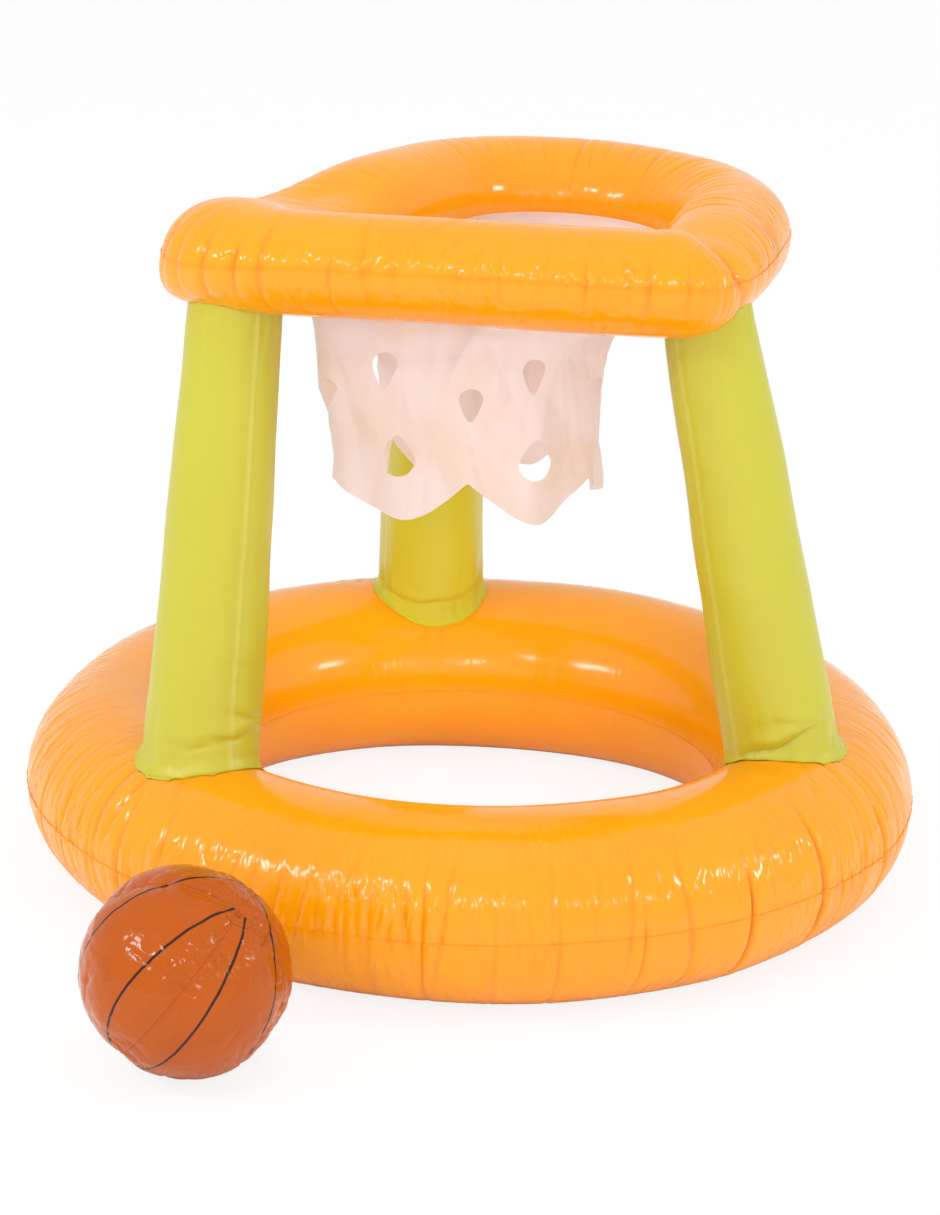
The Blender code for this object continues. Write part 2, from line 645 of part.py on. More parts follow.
def hoop_valve_seat():
    x, y = HOOP_BACK_CENTRE
    radius = HOOP_BACK_RADIUS
    half_height, roll = hoop_swell(y + radius * math.sin(HOOP_VALVE_TURN))
    turn = hoop_place() @ Matrix.Translation((x, y, 0)) @ Matrix.Rotation(HOOP_VALVE_TURN, 4, "Z")
    px, pz = rolled(*ellipse_point(HOOP_HALF_WIDTH, half_height, HOOP_VALVE_LIFT), roll)
    nx, nz = rolled(*ellipse_normal(HOOP_HALF_WIDTH, half_height, HOOP_VALVE_LIFT), roll)
    return turn @ frame_at((radius + px, 0, pz), (nx, 0, nz), (0, 1, 0))


def ball_valve_seat():
    normal = Vector((math.cos(BALL_VALVE_LIFT) * math.cos(BALL_VALVE_TURN),
                     math.cos(BALL_VALVE_LIFT) * math.sin(BALL_VALVE_TURN), math.sin(BALL_VALVE_LIFT)))
    return frame_at(BALL_CENTRE + BALL_RADIUS * normal, normal, Vector((0, 0, 1)).cross(normal))


def add_parent(name, place):
    empty = bpy.data.objects.new(name, None)
    empty.matrix_world = place
    PARTS.objects.link(empty)
    return empty


clear_scene()
PARTS = new_collection("floating_basketball_hoop")
CUTTERS = new_collection("cutters")
ORANGE = vinyl("orange_vinyl", "FFA42E", 0.22)
GREEN = vinyl("yellow_green_vinyl", "D9D740", 0.35)
NET = vinyl("pale_net_film", "F3DEDC", 0.30, 0.75)
BALL = vinyl("brown_ball_vinyl", "C4651F", 0.20)
CLEAR = vinyl("moulded_valve_vinyl", "F2EFE6", 0.35)

base_frame = add_parent("base_frame", Matrix.Translation(BASE_CENTRE))
hoop_frame = add_parent("hoop_frame", hoop_place())
ball_frame = add_parent("ball_frame", Matrix.Translation(BALL_CENTRE))

base_upper = finish(base_film("base_upper_film", True), ORANGE, base_frame)
finish(base_film("base_lower_film", False), ORANGE, base_frame)
hoop_upper = finish(hoop_film("hoop_upper_film", True), ORANGE, hoop_frame)
hoop_lower = finish(hoop_film("hoop_lower_film", False), ORANGE, hoop_frame)
for leg in range(len(LEG_NAMES)):
    boolean(hoop_lower, build_leg(leg, base_frame))
build_net(hoop_frame)
ball_gores = build_ball(ball_frame)

build_valve("base", base_envelope, base_valve_seat(), BASE_DIAMETER / 2, [base_upper], CLEAR, base_frame)
build_valve("hoop", hoop_envelope, hoop_valve_seat(), HOOP_BACK_RADIUS + HOOP_HALF_WIDTH, [hoop_upper], CLEAR, hoop_frame)
build_valve("ball", ball_envelope, ball_valve_seat(), BALL_RADIUS, ball_gores, CLEAR, ball_frame)
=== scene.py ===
import math

import bpy
import numpy as np
from bpy.props import FloatProperty, FloatVectorProperty, IntProperty, PointerProperty, StringProperty
from mathutils import Matrix, Vector
from mathutils.bvhtree import BVHTree


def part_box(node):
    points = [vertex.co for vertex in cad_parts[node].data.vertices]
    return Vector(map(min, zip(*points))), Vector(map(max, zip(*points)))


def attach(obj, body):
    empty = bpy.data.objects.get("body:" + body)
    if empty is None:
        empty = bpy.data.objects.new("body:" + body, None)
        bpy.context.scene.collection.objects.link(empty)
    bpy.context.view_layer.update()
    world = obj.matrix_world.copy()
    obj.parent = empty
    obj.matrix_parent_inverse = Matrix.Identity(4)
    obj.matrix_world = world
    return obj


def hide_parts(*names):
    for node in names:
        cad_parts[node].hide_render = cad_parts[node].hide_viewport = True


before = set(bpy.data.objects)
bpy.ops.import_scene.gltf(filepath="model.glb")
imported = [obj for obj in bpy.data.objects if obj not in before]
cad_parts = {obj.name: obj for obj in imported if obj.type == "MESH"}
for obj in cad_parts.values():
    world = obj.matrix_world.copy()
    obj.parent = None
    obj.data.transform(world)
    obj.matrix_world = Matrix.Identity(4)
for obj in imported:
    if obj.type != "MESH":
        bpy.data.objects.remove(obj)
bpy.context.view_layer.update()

bl_info = {
    "name": "Inflated basketball hoop",
    "version": (1, 0),
    "blender": (4, 5, 0),
    "location": "View3D > Sidebar > Pool toy",
    "description": "Models a floating basketball hoop of welded, inflated vinyl film round its packed frame",
    "category": "Add Mesh",
}

BASE_LOW, BASE_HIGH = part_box("base_upper_film")
BASE_MIDDLE = ((BASE_LOW.x + BASE_HIGH.x) / 2, (BASE_LOW.y + BASE_HIGH.y) / 2)
LEGS = ("left", "right", "back")
# Seeds of the random folds. Each leg and each foot weld adds its own index
SEEDS = {"base": 41, "hoop": 23, "leg": 60, "foot_weld": 80, "net": 7, "ball": 17}


class VinylSizes(bpy.types.PropertyGroup):
    """Sizes of the inflated toy, in metres."""
    film: FloatProperty(name="Film", description="Thickness that the film shows at its edges",
                        default=0.0003, unit="LENGTH")
    lip: FloatProperty(name="Weld lip", description="Width of the weld lip along a seam",
                       default=0.0009, unit="LENGTH")
    base_radius: FloatProperty(name="Base radius", unit="LENGTH",
                               description="Outer radius of the base ring without its weld lip",
                               default=(BASE_HIGH.x - BASE_LOW.x) / 2 - 0.0015)
    base_half_width: FloatProperty(name="Base tube half width", default=0.0726, unit="LENGTH",
                                   description="Half the width of the base ring's tube")
    base_half_height: FloatProperty(name="Base tube half height", default=0.0680, unit="LENGTH",
                                    description="Half the height of the base ring's tube before it rests")
    seam_height: FloatProperty(name="Seam height", description="Height of the base ring's weld seam",
                               default=BASE_LOW.z - 0.00015, unit="LENGTH")
    leg_foot_radius: FloatProperty(name="Leg foot radius", description="Radius of a leg at its foot",
                                   default=0.0420, unit="LENGTH")
    leg_waist_radius: FloatProperty(name="Leg waist radius", description="Radius half way up a leg",
                                    default=0.0382, unit="LENGTH")
    leg_head_radius: FloatProperty(name="Leg head radius", description="Radius of a leg under the hoop",
                                   default=0.0325, unit="LENGTH")
    foot_lip: FloatProperty(name="Foot weld", description="Width of the weld round a leg's foot",
                            default=0.0050, unit="LENGTH")
    hoop_height: FloatProperty(name="Hoop height", description="Height of the hoop ring's middle",
                               default=0.485, unit="LENGTH")
    hoop_half_width: FloatProperty(name="Hoop tube half width", default=0.0440, unit="LENGTH",
                                   description="Half the width of the hoop ring's tube")
    hoop_half_heights: FloatVectorProperty(name="Hoop tube half heights", size=2,
                                           default=(0.0370, 0.0420), unit="LENGTH",
                                           description="Half the hoop tube's height, front and back")
    net_hem: FloatProperty(name="Net hem", description="Height of the net's lowest lobes",
                           default=0.2925, unit="LENGTH")
    net_lobes: IntProperty(name="Net lobes", description="How many scallops the net's hem has", default=6)
    ball_radius: FloatProperty(name="Ball radius", description="Radius of the inflated ball",
                               default=0.0715, unit="LENGTH")


class VinylColours(bpy.types.PropertyGroup):
    """Colours of the toy's films, as sRGB hex values."""
    ring: StringProperty(name="Rings", description="Base ring and hoop ring", default="FFA00A")
    # Ring folds: painted shade, the deeper orange that the rings' creases take by their depth, also used for
    # a faint random tint
    ring_shade_and_tint: StringProperty(name="Ring crease shade", description="Painted shade in creases, and a faint random tint", default="EE8200")
    leg: StringProperty(name="Legs", description="Legs and their foot welds", default="C5C030")
    leg_fold: StringProperty(name="Leg folds", description="Leg film at a crease", default="BFB828")
    leg_weld: StringProperty(name="Leg welds", description="Film doubled along a leg", default="F1EE9A")
    net: StringProperty(name="Net", description="The net's milky film", default="F9F3F3")
    # Net patches: painted shade, warmer patches that stand in for the shading of the net's layered facets
    net_shade_patch: StringProperty(name="Net shaded patches", description="Painted shade: warmer patches of the net, at random", default="F8EEE7")
    ball: StringProperty(name="Ball", description="Printed ground of the ball", default="B35203")
    ball_dark: StringProperty(name="Ball patches", description="Darker print of the ball", default="A84A04")
    ball_line: StringProperty(name="Ball lines", description="Printed lines of the ball", default="1C1512")
    valve: StringProperty(name="Valves", description="Moulded valves and stoppers", default="EFEAE0")
    floor: StringProperty(name="Floor", description="The studio's floor and background", default="FFFFFF")


# Helpers

def linear(hex_colour):
    """An sRGB hex value as the linear colour that a shader reads."""
    channels = [int(hex_colour[i:i + 2], 16) / 255 for i in (0, 2, 4)]
    return (*[c / 12.92 if c <= 0.04045 else ((c + 0.055) / 1.055) ** 2.4 for c in channels], 1)


def sizes():
    return bpy.context.scene.vinyl_sizes


def colours():
    return bpy.context.scene.vinyl_colours


def choose(*objects):
    """Only these objects are selected, and the last one is active."""
    if bpy.context.object and bpy.context.object.mode != "OBJECT":
        bpy.ops.object.mode_set(mode="OBJECT")
    bpy.ops.object.select_all(action="DESELECT")
    for obj in objects:
        obj.select_set(True)
    bpy.context.view_layer.objects.active = objects[-1] if objects else None


def add_node(tree, kind, settings=None, **links):
    """Adds one node. settings are its properties, and links its inputs: a value, or a socket to link."""
    node = tree.nodes.new(kind)
    for key, value in (settings or {}).items():
        setattr(node, key, value)
    for key, value in links.items():
        socket = node.inputs[int(key[1:]) if key[0] == "i" and key[1:].isdigit() else key.replace("_", " ")]
        if isinstance(value, bpy.types.NodeSocket):
            tree.links.new(value, socket)
        else:
            socket.default_value = value
    return node


def new_material(name, **values):
    """A material, its node tree and its shader. values are the shader's own inputs."""
    material = bpy.data.materials.new(name)
    material.use_nodes = True
    shader = material.node_tree.nodes["Principled BSDF"]
    for key, value in values.items():
        shader.inputs[key.replace("_", " ")].default_value = value
    return material, material.node_tree, shader


def math_node(tree, operation, *values, clamp=False):
    """The result of one sum on values or sockets."""
    links = {f"i{index}": value for index, value in enumerate(values)}
    settings = {"operation": operation, "use_clamp": clamp}
    return add_node(tree, "ShaderNodeMath", settings, **links).outputs[0]


def noise(tree, place, scale, detail):
    return add_node(tree, "ShaderNodeTexNoise", Vector=place, Scale=scale, Detail=detail).outputs["Fac"]


def stretch(tree, value, low, high, **links):
    """A value between low and high as a share from 0 to 1, or from To_Min to To_Max."""
    return add_node(tree, "ShaderNodeMapRange", Value=value, From_Min=low, From_Max=high,
                    **links).outputs["Result"]


def mix_colours(tree, share, first, second):
    return add_node(tree, "ShaderNodeMix", {"data_type": "RGBA"}, i0=share, i6=first, i7=second).outputs[2]


def link_surface(tree, node):
    """What the node gives becomes the material's surface."""
    output = next(each for each in tree.nodes if each.type == "OUTPUT_MATERIAL")
    tree.links.new(node.outputs[0], output.inputs["Surface"])


def attribute(tree, name):
    return add_node(tree, "ShaderNodeAttribute", {"attribute_name": name}).outputs["Fac"]


def object_place(tree):
    return add_node(tree, "ShaderNodeTexCoord").outputs["Object"]


def bump_shader(tree, shader, height, strength, distance):
    """Bumps a shader's surface. The bump's normal is returned."""
    bump = add_node(tree, "ShaderNodeBump", Strength=strength, Distance=distance, Height=height)
    tree.links.new(bump.outputs["Normal"], shader.inputs["Normal"])
    return bump.outputs["Normal"]


def finish_piece(obj, name, material, body, slot, *nodes):
    """Names a finished piece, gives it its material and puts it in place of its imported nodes."""
    obj.name = name
    obj.data.name = name
    obj.data.materials.clear()
    obj.data.materials.append(material)
    choose(obj)
    bpy.ops.object.shade_smooth_by_angle(angle=math.radians(50))
    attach(obj, body)
    if nodes:
        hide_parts(*nodes)
    return obj


def set_points(obj, points):
    obj.data.vertices.foreach_set("co", np.asarray(points, np.float32).reshape(-1))
    obj.data.update()


def set_attribute(obj, name, values):
    attribute = obj.data.attributes.new(name, "FLOAT", "POINT")
    attribute.data.foreach_set("value", np.asarray(values, np.float32).reshape(-1))


def scale_uv(obj, width, height):
    """UVs in metres, so that a pattern's scale is its real size."""
    layer = obj.data.uv_layers.active.data
    uv = np.empty(len(layer) * 2, np.float32)
    layer.foreach_get("uv", uv)
    uv = uv.reshape(-1, 2) * (width, height)
    layer.foreach_set("uv", uv.reshape(-1))


def grid_normals(points, wrap=(True, True)):
    """Normals of a grid of points: along the first axis crossed with along the second."""
    steps = []
    for axis in (0, 1):
        if wrap[axis]:
            steps.append(np.roll(points, -1, axis) - np.roll(points, 1, axis))
        else:
            steps.append(np.gradient(points, axis=axis))
    normals = np.cross(steps[0], steps[1])
    return normals / np.maximum(np.linalg.norm(normals, axis=2, keepdims=True), 1e-9)


def smooth(x, low, high):
    """A soft step from 0 to 1 between two values."""
    share = np.clip((x - low) / (high - low), 0, 1)
    return share * share * (3 - 2 * share)


def bell(x, width, power=2):
    """A rounded rise from 0 to 1 at x = 0."""
    return np.exp(-(np.abs(x) / width) ** power)


def ridge(x, width):
    """A sharp rise from 0 to 1 at x = 0."""
    return np.exp(-np.abs(x) / width)


def fold(rng, x, depth, width):
    """A sharp rise at x = 0 of a random height and width within the given ranges."""
    return rng.uniform(*depth) * ridge(x, rng.uniform(*width))


def wrapped(offset, period=2 * math.pi):
    """The same offset round a loop, the shorter way."""
    return (offset + period / 2) % period - period / 2


def wave_noise(rng, coordinates, wavelengths, count=14):
    """A smooth random field from -1 to 1, made of waves of about the given lengths."""
    field = 0
    for _ in range(count):
        length = rng.uniform(*wavelengths)
        direction = rng.normal(size=coordinates.shape[-1])
        direction *= 2 * math.pi / length / np.linalg.norm(direction)
        field = field + np.sin(coordinates @ direction + rng.uniform(0, 2 * math.pi))
    return field / math.sqrt(count)


# Welded film under pressure is drawn in along its seams: sharp valleys cross the seam, with
# soft pillows between them. Each valley has its own depth, width, lean and reach.

def seam_valleys(rng, length, spacing, depth, width, reach_up, reach_down, lean, start=0.0):
    """Random valleys along a seam: place, depth, width, reach up, reach down and lean."""
    valleys = []
    place = start + rng.uniform(0, spacing[0])
    while place < length:
        deep = rng.uniform(0.2, 1) ** 2.2
        reach = 0.6 + 0.5 * deep
        valleys.append((place, depth[0] + (depth[1] - depth[0]) * deep,
                        rng.uniform(*width) * (0.7 + 0.6 * deep), rng.uniform(*reach_up) * reach,
                        rng.uniform(*reach_down) * reach, rng.uniform(-lean, lean)))
        place += rng.uniform(*spacing)
    return valleys


def valley_relief(valleys, along, away, length):
    """Heights of the film for valleys over a grid: along the seam, and away from it by angle."""
    relief = np.zeros(np.broadcast(along, away).shape)
    for place, depth, width, up, down, lean in valleys:
        offset = wrapped(along - place - lean * away, length)
        fade = bell(away, np.where(away > 0, up, down), 2.4)
        relief -= depth * fade * (ridge(offset, width) - 0.38 * bell(offset, 3.6 * width))
    return relief


def ripples(rng, along, across, length, wavelengths, reach, count=16):
    """Fine ripples that cross a tube: short waves along it, faded and shifted round its section."""
    field = 0
    for _ in range(count):
        turns = round(length / rng.uniform(*wavelengths))
        lean = rng.uniform(-1.2, 1.2)
        fade = 0.5 + 0.5 * np.sin(across * rng.uniform(*reach) + rng.uniform(0, 2 * math.pi)
                                  + 2 * math.pi * rng.integers(3, 14) * along / length)
        field = field + np.sin(2 * math.pi * turns * along / length + lean * across
                               + rng.uniform(0, 2 * math.pi)) * fade
    return field / math.sqrt(count)


def add_grid(points):
    """A grid from the primitive with its points put in place: rows, then columns that run
    round until they meet."""
    points = np.concatenate([points, points[:, :1]], axis=1)
    rows, columns = points.shape[:2]
    choose()
    bpy.ops.mesh.primitive_grid_add(x_subdivisions=columns - 1, y_subdivisions=rows - 1, size=1)
    obj = bpy.context.object
    set_points(obj, points)
    return obj


def edit_mesh(obj, *steps):
    """Runs steps on an object's whole mesh in edit mode."""
    choose(obj)
    bpy.ops.object.mode_set(mode="EDIT")
    bpy.ops.mesh.select_all(action="SELECT")
    for step in steps:
        step()
    bpy.ops.object.mode_set(mode="OBJECT")


def apply_modifier(obj, kind, **settings):
    choose(obj)
    modifier = obj.modifiers.new(kind, kind)
    for key, value in settings.items():
        setattr(modifier, key, value)
    bpy.ops.object.modifier_apply(modifier=modifier.name)


def close_grid(obj, outward):
    """Welds the grid's two meeting edges and turns its faces outward."""
    edit_mesh(obj, lambda: bpy.ops.mesh.remove_doubles(threshold=0.000001))
    if sum(p.normal.dot(outward(p.center)) * p.area for p in obj.data.polygons) < 0:
        obj.data.flip_normals()


def draw_lip(film, directions, lip):
    """Draws a weld lip out of a film's open edges. directions maps each seam point to its way out."""
    edit_mesh(film, bpy.ops.mesh.region_to_loop, bpy.ops.mesh.extrude_region_move)
    for vertex in film.data.vertices:
        if vertex.select:
            vertex.co += lip * directions[tuple(vertex.co)]


def solidify(obj, thickness):
    """Gives a film its thickness, outward."""
    apply_modifier(obj, "SOLIDIFY", thickness=thickness, offset=1, use_even_offset=False)


# Round a valve: up to where a film lies flat under the flange, and from where on it is free
VALVE_FLANGE_REACH = (0.0165, 0.0300)
VALVE_NECK_REACH = 0.0062
VALVE_NECK_DIP = 0.0060   # how far the film dips inside the neck
VALVE_SEEK = 0.008        # how far off its packed form a film may be there
VALVE_SINK = 0.0002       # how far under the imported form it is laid


def surface_tree(objects):
    """A tree of the faces of several objects, for finding where a film meets them."""
    points, faces = [], []
    for obj in objects:
        first = len(points)
        points += [obj.matrix_world @ v.co for v in obj.data.vertices]
        faces += [tuple(first + i for i in p.vertices) for p in obj.data.polygons]
    return BVHTree.FromPolygons(points, faces)


def seat_valve(points, normals, prefix, films):
    """Lays a film on its packed form round a valve, so that the valve's flange rests on it.
    Returns how free of the valve each point is, from 0 to 1."""
    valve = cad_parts[f"{prefix}_valve"]
    centre = np.mean([tuple(valve.matrix_world @ v.co) for v in valve.data.vertices], axis=0)
    tree = surface_tree([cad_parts[film] for film in films])
    distance = np.linalg.norm(points - centre, axis=-1)
    free = smooth(distance, *VALVE_FLANGE_REACH)
    for index in zip(*np.nonzero(free < 1)):
        place, out = Vector(points[index]), Vector(normals[index])
        hit = tree.ray_cast(place + VALVE_SEEK * out, -out, 2 * VALVE_SEEK)[0]
        if distance[index] < VALVE_NECK_REACH:
            points[index] = place - VALVE_NECK_DIP * out
        elif hit:
            points[index] = (hit - VALVE_SINK * out).lerp(place, free[index])
    return free


# Base ring

BASE_RINGS = 1280
BASE_SECTION = 72
# Deep creases that the photograph shows on the front: direction, depth, width, reach up and down
BASE_CREASES = (
    (311.0, 0.0034, 0.0030, 0.85, 1.15), (298.4, 0.0028, 0.0026, 0.55, 0.95),
    (326.5, 0.0024, 0.0030, 0.7, 0.8), (319.5, 0.0012, 0.0022, 0.5, 0.8),
    (283.2, 0.0014, 0.0022, 0.35, 1.0), (272.6, 0.0015, 0.0020, 0.3, 1.1),
    (264.8, 0.0016, 0.0020, 0.4, 1.1), (256.2, 0.0019, 0.0022, 0.75, 0.9),
    (249.6, 0.0015, 0.0020, 0.6, 0.8), (246.6, 0.0013, 0.0018, 0.55, 0.7),
    (231.5, 0.0013, 0.0022, 0.6, 0.6), (212.5, 0.0020, 0.0026, 0.95, 0.6),
    (206.0, 0.0018, 0.0026, 1.0, 0.6), (198.5, 0.0016, 0.0024, 0.9, 0.7),
    (191.0, 0.0015, 0.0024, 0.9, 0.7),
)
CREASE_DEPTH = 1.7  # the creases are drawn this much deeper than they were measured
# Across the outer weld: long creases, short ones, and small puckers well above it that break up
# the highlight on the shoulder. Each row has their height in radians round the section, their
# spacing, depth, width, reach up and down, and lean
BASE_PUCKERS = (
    (0, (0.014, 0.046), (0.0004, 0.0030), (0.0020, 0.0036), (0.35, 0.95), (0.35, 0.95), 0.012),
    (0, (0.009, 0.026), (0.0001, 0.0011), (0.0015, 0.0024), (0.25, 0.80), (0.16, 0.55), 0.014),
    (0.55, (0.009, 0.026), (0.0002, 0.0013), (0.0015, 0.0026), (0.28, 0.448), (0.28, 0.448), 0.030),
    (0.85, (0.009, 0.026), (0.0002, 0.0013), (0.0015, 0.0026), (0.30, 0.48), (0.30, 0.48), 0.030),
)
# Across the inner weld: broad shallow ones
BASE_INNER_PUCKERS = ((0.018, 0.050), (0.0001, 0.0005), (0.0030, 0.0060), (0.16, 0.40), (0.16, 0.40), 0.004)
# Directions of the feet on the base ring, and each foot's inset from the tube's centre line
FOOT_TURNS = (210.1, 329.2, 90.0)
FOOT_INSETS = (0.0118, 0.0169, 0.0109)
FOOT_FOLDS = 30  # round each foot


def base_ring_radius():
    """Radius of the middle of the ring's tube."""
    return sizes().base_radius - sizes().base_half_width


def foot_point(index):
    """Where a leg stands on the base."""
    turn = math.radians(FOOT_TURNS[index])
    reach = base_ring_radius() - FOOT_INSETS[index]
    return Vector((BASE_MIDDLE[0] + reach * math.cos(turn), BASE_MIDDLE[1] + reach * math.sin(turn),
                   sizes().seam_height + sizes().base_half_height))


def foot_folds(rng, points, index):
    """Folds fanning out round a leg's foot, where the weld pulls the base's film. They run
    furthest on the outer side, where the leg leans on the film."""
    foot = np.array(foot_point(index))
    away = points - foot
    turn = np.arctan2(away[..., 1], away[..., 0])
    distance = np.linalg.norm(away, axis=-1)
    start = sizes().leg_foot_radius
    outward = math.radians(FOOT_TURNS[index])
    relief = np.zeros(distance.shape)
    for k in range(FOOT_FOLDS):
        direction = outward + 2 * math.pi * (k + rng.uniform(-0.45, 0.45)) / FOOT_FOLDS
        aside = math.cos(direction - outward)
        outer = max(0, aside) ** 0.5
        length = rng.uniform(0.014, 0.030) + outer * rng.uniform(0.02, 0.095)
        bend = rng.uniform(-2.5, 2.5)
        offset = wrapped(turn - direction - bend * (distance - start)) * distance
        fade = smooth(distance, start - 0.004, start + 0.010)
        fade = fade * (1 - smooth(distance, start + 0.3 * length, start + length))
        depth = rng.uniform(0.0003, 0.0012) + outer * rng.uniform(0.0, 0.0030)
        relief -= depth * fade * (ridge(offset, rng.uniform(0.0018, 0.0034)) - 0.4 * bell(offset, 0.009))
    return relief


def base_points():
    """Points of the base ring's film, their angles from the outer weld, and depths of folds, which set the
    painted crease shade.
    """
    s = sizes()
    ring = np.linspace(0, 2 * math.pi, BASE_RINGS, endpoint=False)[:, None]
    angle = np.linspace(0, 2 * math.pi, BASE_SECTION, endpoint=False)[None, :]
    reach = base_ring_radius() + s.base_half_width * np.cos(angle)
    height = s.base_half_height * np.sin(angle) + 0 * ring
    points = np.stack([BASE_MIDDLE[0] + reach * np.cos(ring), BASE_MIDDLE[1] + reach * np.sin(ring),
                       s.seam_height + height], axis=2)
    normals = grid_normals(points)
    rng = np.random.default_rng(SEEDS["base"])
    outer, inner = wrapped(angle), math.pi - angle
    length = 2 * math.pi * s.base_radius
    along = ring * s.base_radius
    named = [(math.radians(place) * s.base_radius, CREASE_DEPTH * depth, *rest, 0.0)
             for place, depth, *rest in BASE_CREASES]
    relief = valley_relief(named, along, outer, length)
    for lift, *rest in BASE_PUCKERS:
        relief += valley_relief(seam_valleys(rng, length, *rest), along, outer - lift, length)
    relief += 0.00016 * ripples(rng, along, outer, length, (0.009, 0.024), (1.0, 4.0)) * bell(outer, 1.3)
    relief += valley_relief(seam_valleys(rng, length, *BASE_INNER_PUCKERS), along, inner, length)
    for index in range(3):
        relief += foot_folds(rng, points, index)
    # The creases' depths, before the broad waves, set the painted shade in them
    folds = -relief
    relief += 0.0007 * wave_noise(rng, points, (0.10, 0.28))
    points = points + normals * relief[..., None]
    points[..., 2] = np.maximum(points[..., 2], 0.00002)
    folds = folds * seat_valve(points, normals, "base", ["base_upper_film"])
    return points, outer + 0 * ring, folds


FULL_CREASE_SHADE = 0.0022  # a crease this deep gets the full painted crease shade


def make_film_pair(prefix, points, outer, folds, half_width, material):
    """An upper and a lower film on a grid of points round a tube, welded at its two seams."""
    points = points.astype(np.float32)
    section = points.shape[1]
    half = section // 2
    directions = {}
    for ring in points:
        out = Vector(ring[0]) - Vector(ring[half])
        out.normalize()
        directions[tuple(float(c) for c in ring[0])] = out
        directions[tuple(float(c) for c in ring[half])] = -out
    length = float(np.linalg.norm(np.roll(points[:, 0], -1, 0) - points[:, 0], axis=1).sum())
    for first, side in ((0, "upper"), (half, "lower")):
        rows = [(first + k) % section for k in range(half + 1)]
        film = add_grid(points[:, rows].transpose(1, 0, 2))
        scale_uv(film, length, math.pi * half_width)
        # The film puckers round its outer seam, and is nearly smooth at the inner one
        near = bell(outer, 0.95) + 0.2 * bell(math.pi - np.abs(outer), 0.4)
        # The creases' depths go with the film too, for the painted shade in them
        for key, field in (("near_seam", near), ("crease_shade_depth", np.clip(folds / FULL_CREASE_SHADE, 0, 1))):
            field = field[:, rows].T
            set_attribute(film, key, np.concatenate([field, field[:, :1]], axis=1))
        outward = Vector((0, 0, 1 if side == "upper" else -1))
        close_grid(film, lambda centre: outward)
        draw_lip(film, directions, sizes().lip)
        solidify(film, sizes().film)
        finish_piece(film, f"{prefix}_{side}_vinyl", material, "frame", "orange_vinyl",
                     f"{prefix}_{side}_film")


# Hoop ring

HOOP_CORNERS = ((-0.166, -0.077), (0.103, -0.121))
HOOP_CORNER_RADIUS = 0.031
HOOP_BACK = (0.061, 0.037)
HOOP_BACK_RADIUS = 0.125
HOOP_LEANS = (-1.1, 1.6)      # degrees about X and Y
HOOP_ROLLS = (7, 8)           # degrees that the outer seam has rolled up, front and back
HOOP_DROOP = (0.035, 0.045, 10)  # where the seam sinks at the left corner: place, reach and degrees
# Broad swells and dips of the left corner: place, reach, height, section angle and spread in degrees
HOOP_SWELLS = ((0.029, 0.022, 0.0098, -34, 26), (0.035, 0.030, 0.0040, 60, 32),
               (-0.072, 0.045, -0.0160, 85, 50))
HOOP_FRONT_TO_BACK = (-0.100, 0.030)  # between these the front's tube turns into the back's
HOOP_ARC_STEPS = (66, 66, 250)
HOOP_STRAIGHT_STEPS = 128
HOOP_SECTION = 76
# Creases that the photograph shows: place along the ring, depth, width, reach up and down
HOOP_CREASES = (
    (0.0624, 0.0026, 0.0022, 0.65, 0.75), (0.0765, 0.0018, 0.002, 0.5, 0.7),
    (0.0866, 0.0024, 0.0022, 0.9, 0.8), (0.048, 0.0014, 0.002, 0.9, 0.5),
    (0.036, 0.0013, 0.002, 1, 0.4), (0.1283, 0.0016, 0.0018, 0.35, 0.75),
    (0.168, 0.0009, 0.0016, 0.3, 0.5), (0.2342, 0.001, 0.0016, 0.5, 0.5),
    (0.2871, 0.0018, 0.002, 0.55, 0.65), (0.3268, 0.002, 0.002, 0.6, 0.7),
    (0.3451, 0.0015, 0.0018, 0.4, 0.6), (0.351, 0.001, 0.0014, 0.5, 0.8),
    (0.3555, 0.001, 0.0012, 0.5, 0.9), (0.36, 0.0011, 0.0012, 0.55, 0.9),
    (0.364, 0.001, 0.0012, 0.6, 0.9),
)
# The deep crease where the front's tube ends before the right side: section angle, place and depth
RIGHT_CREASE = ((-150, 0.3850, 0.0), (-110, 0.3850, 0.0022), (-62, 0.3835, 0.0050), (-22, 0.3765, 0.0078),
                (0, 0.3735, 0.0085), (30, 0.3715, 0.0085), (56, 0.3715, 0.0070), (80, 0.3790, 0.0050),
                (110, 0.3850, 0.0036), (150, 0.3850, 0.0018), (180, 0.3850, 0.0))
RIGHT_CREASE_TURN = 10  # degrees by which it has turned up with the tube
# Shares of the tube's height lost at its upper left and right: share, reach before and after,
# and how sharp
HOOP_PINCHES = ((0.32, 0.090, 0.024, 0.15), (0.16, 0.025, 0.030, 0.0))
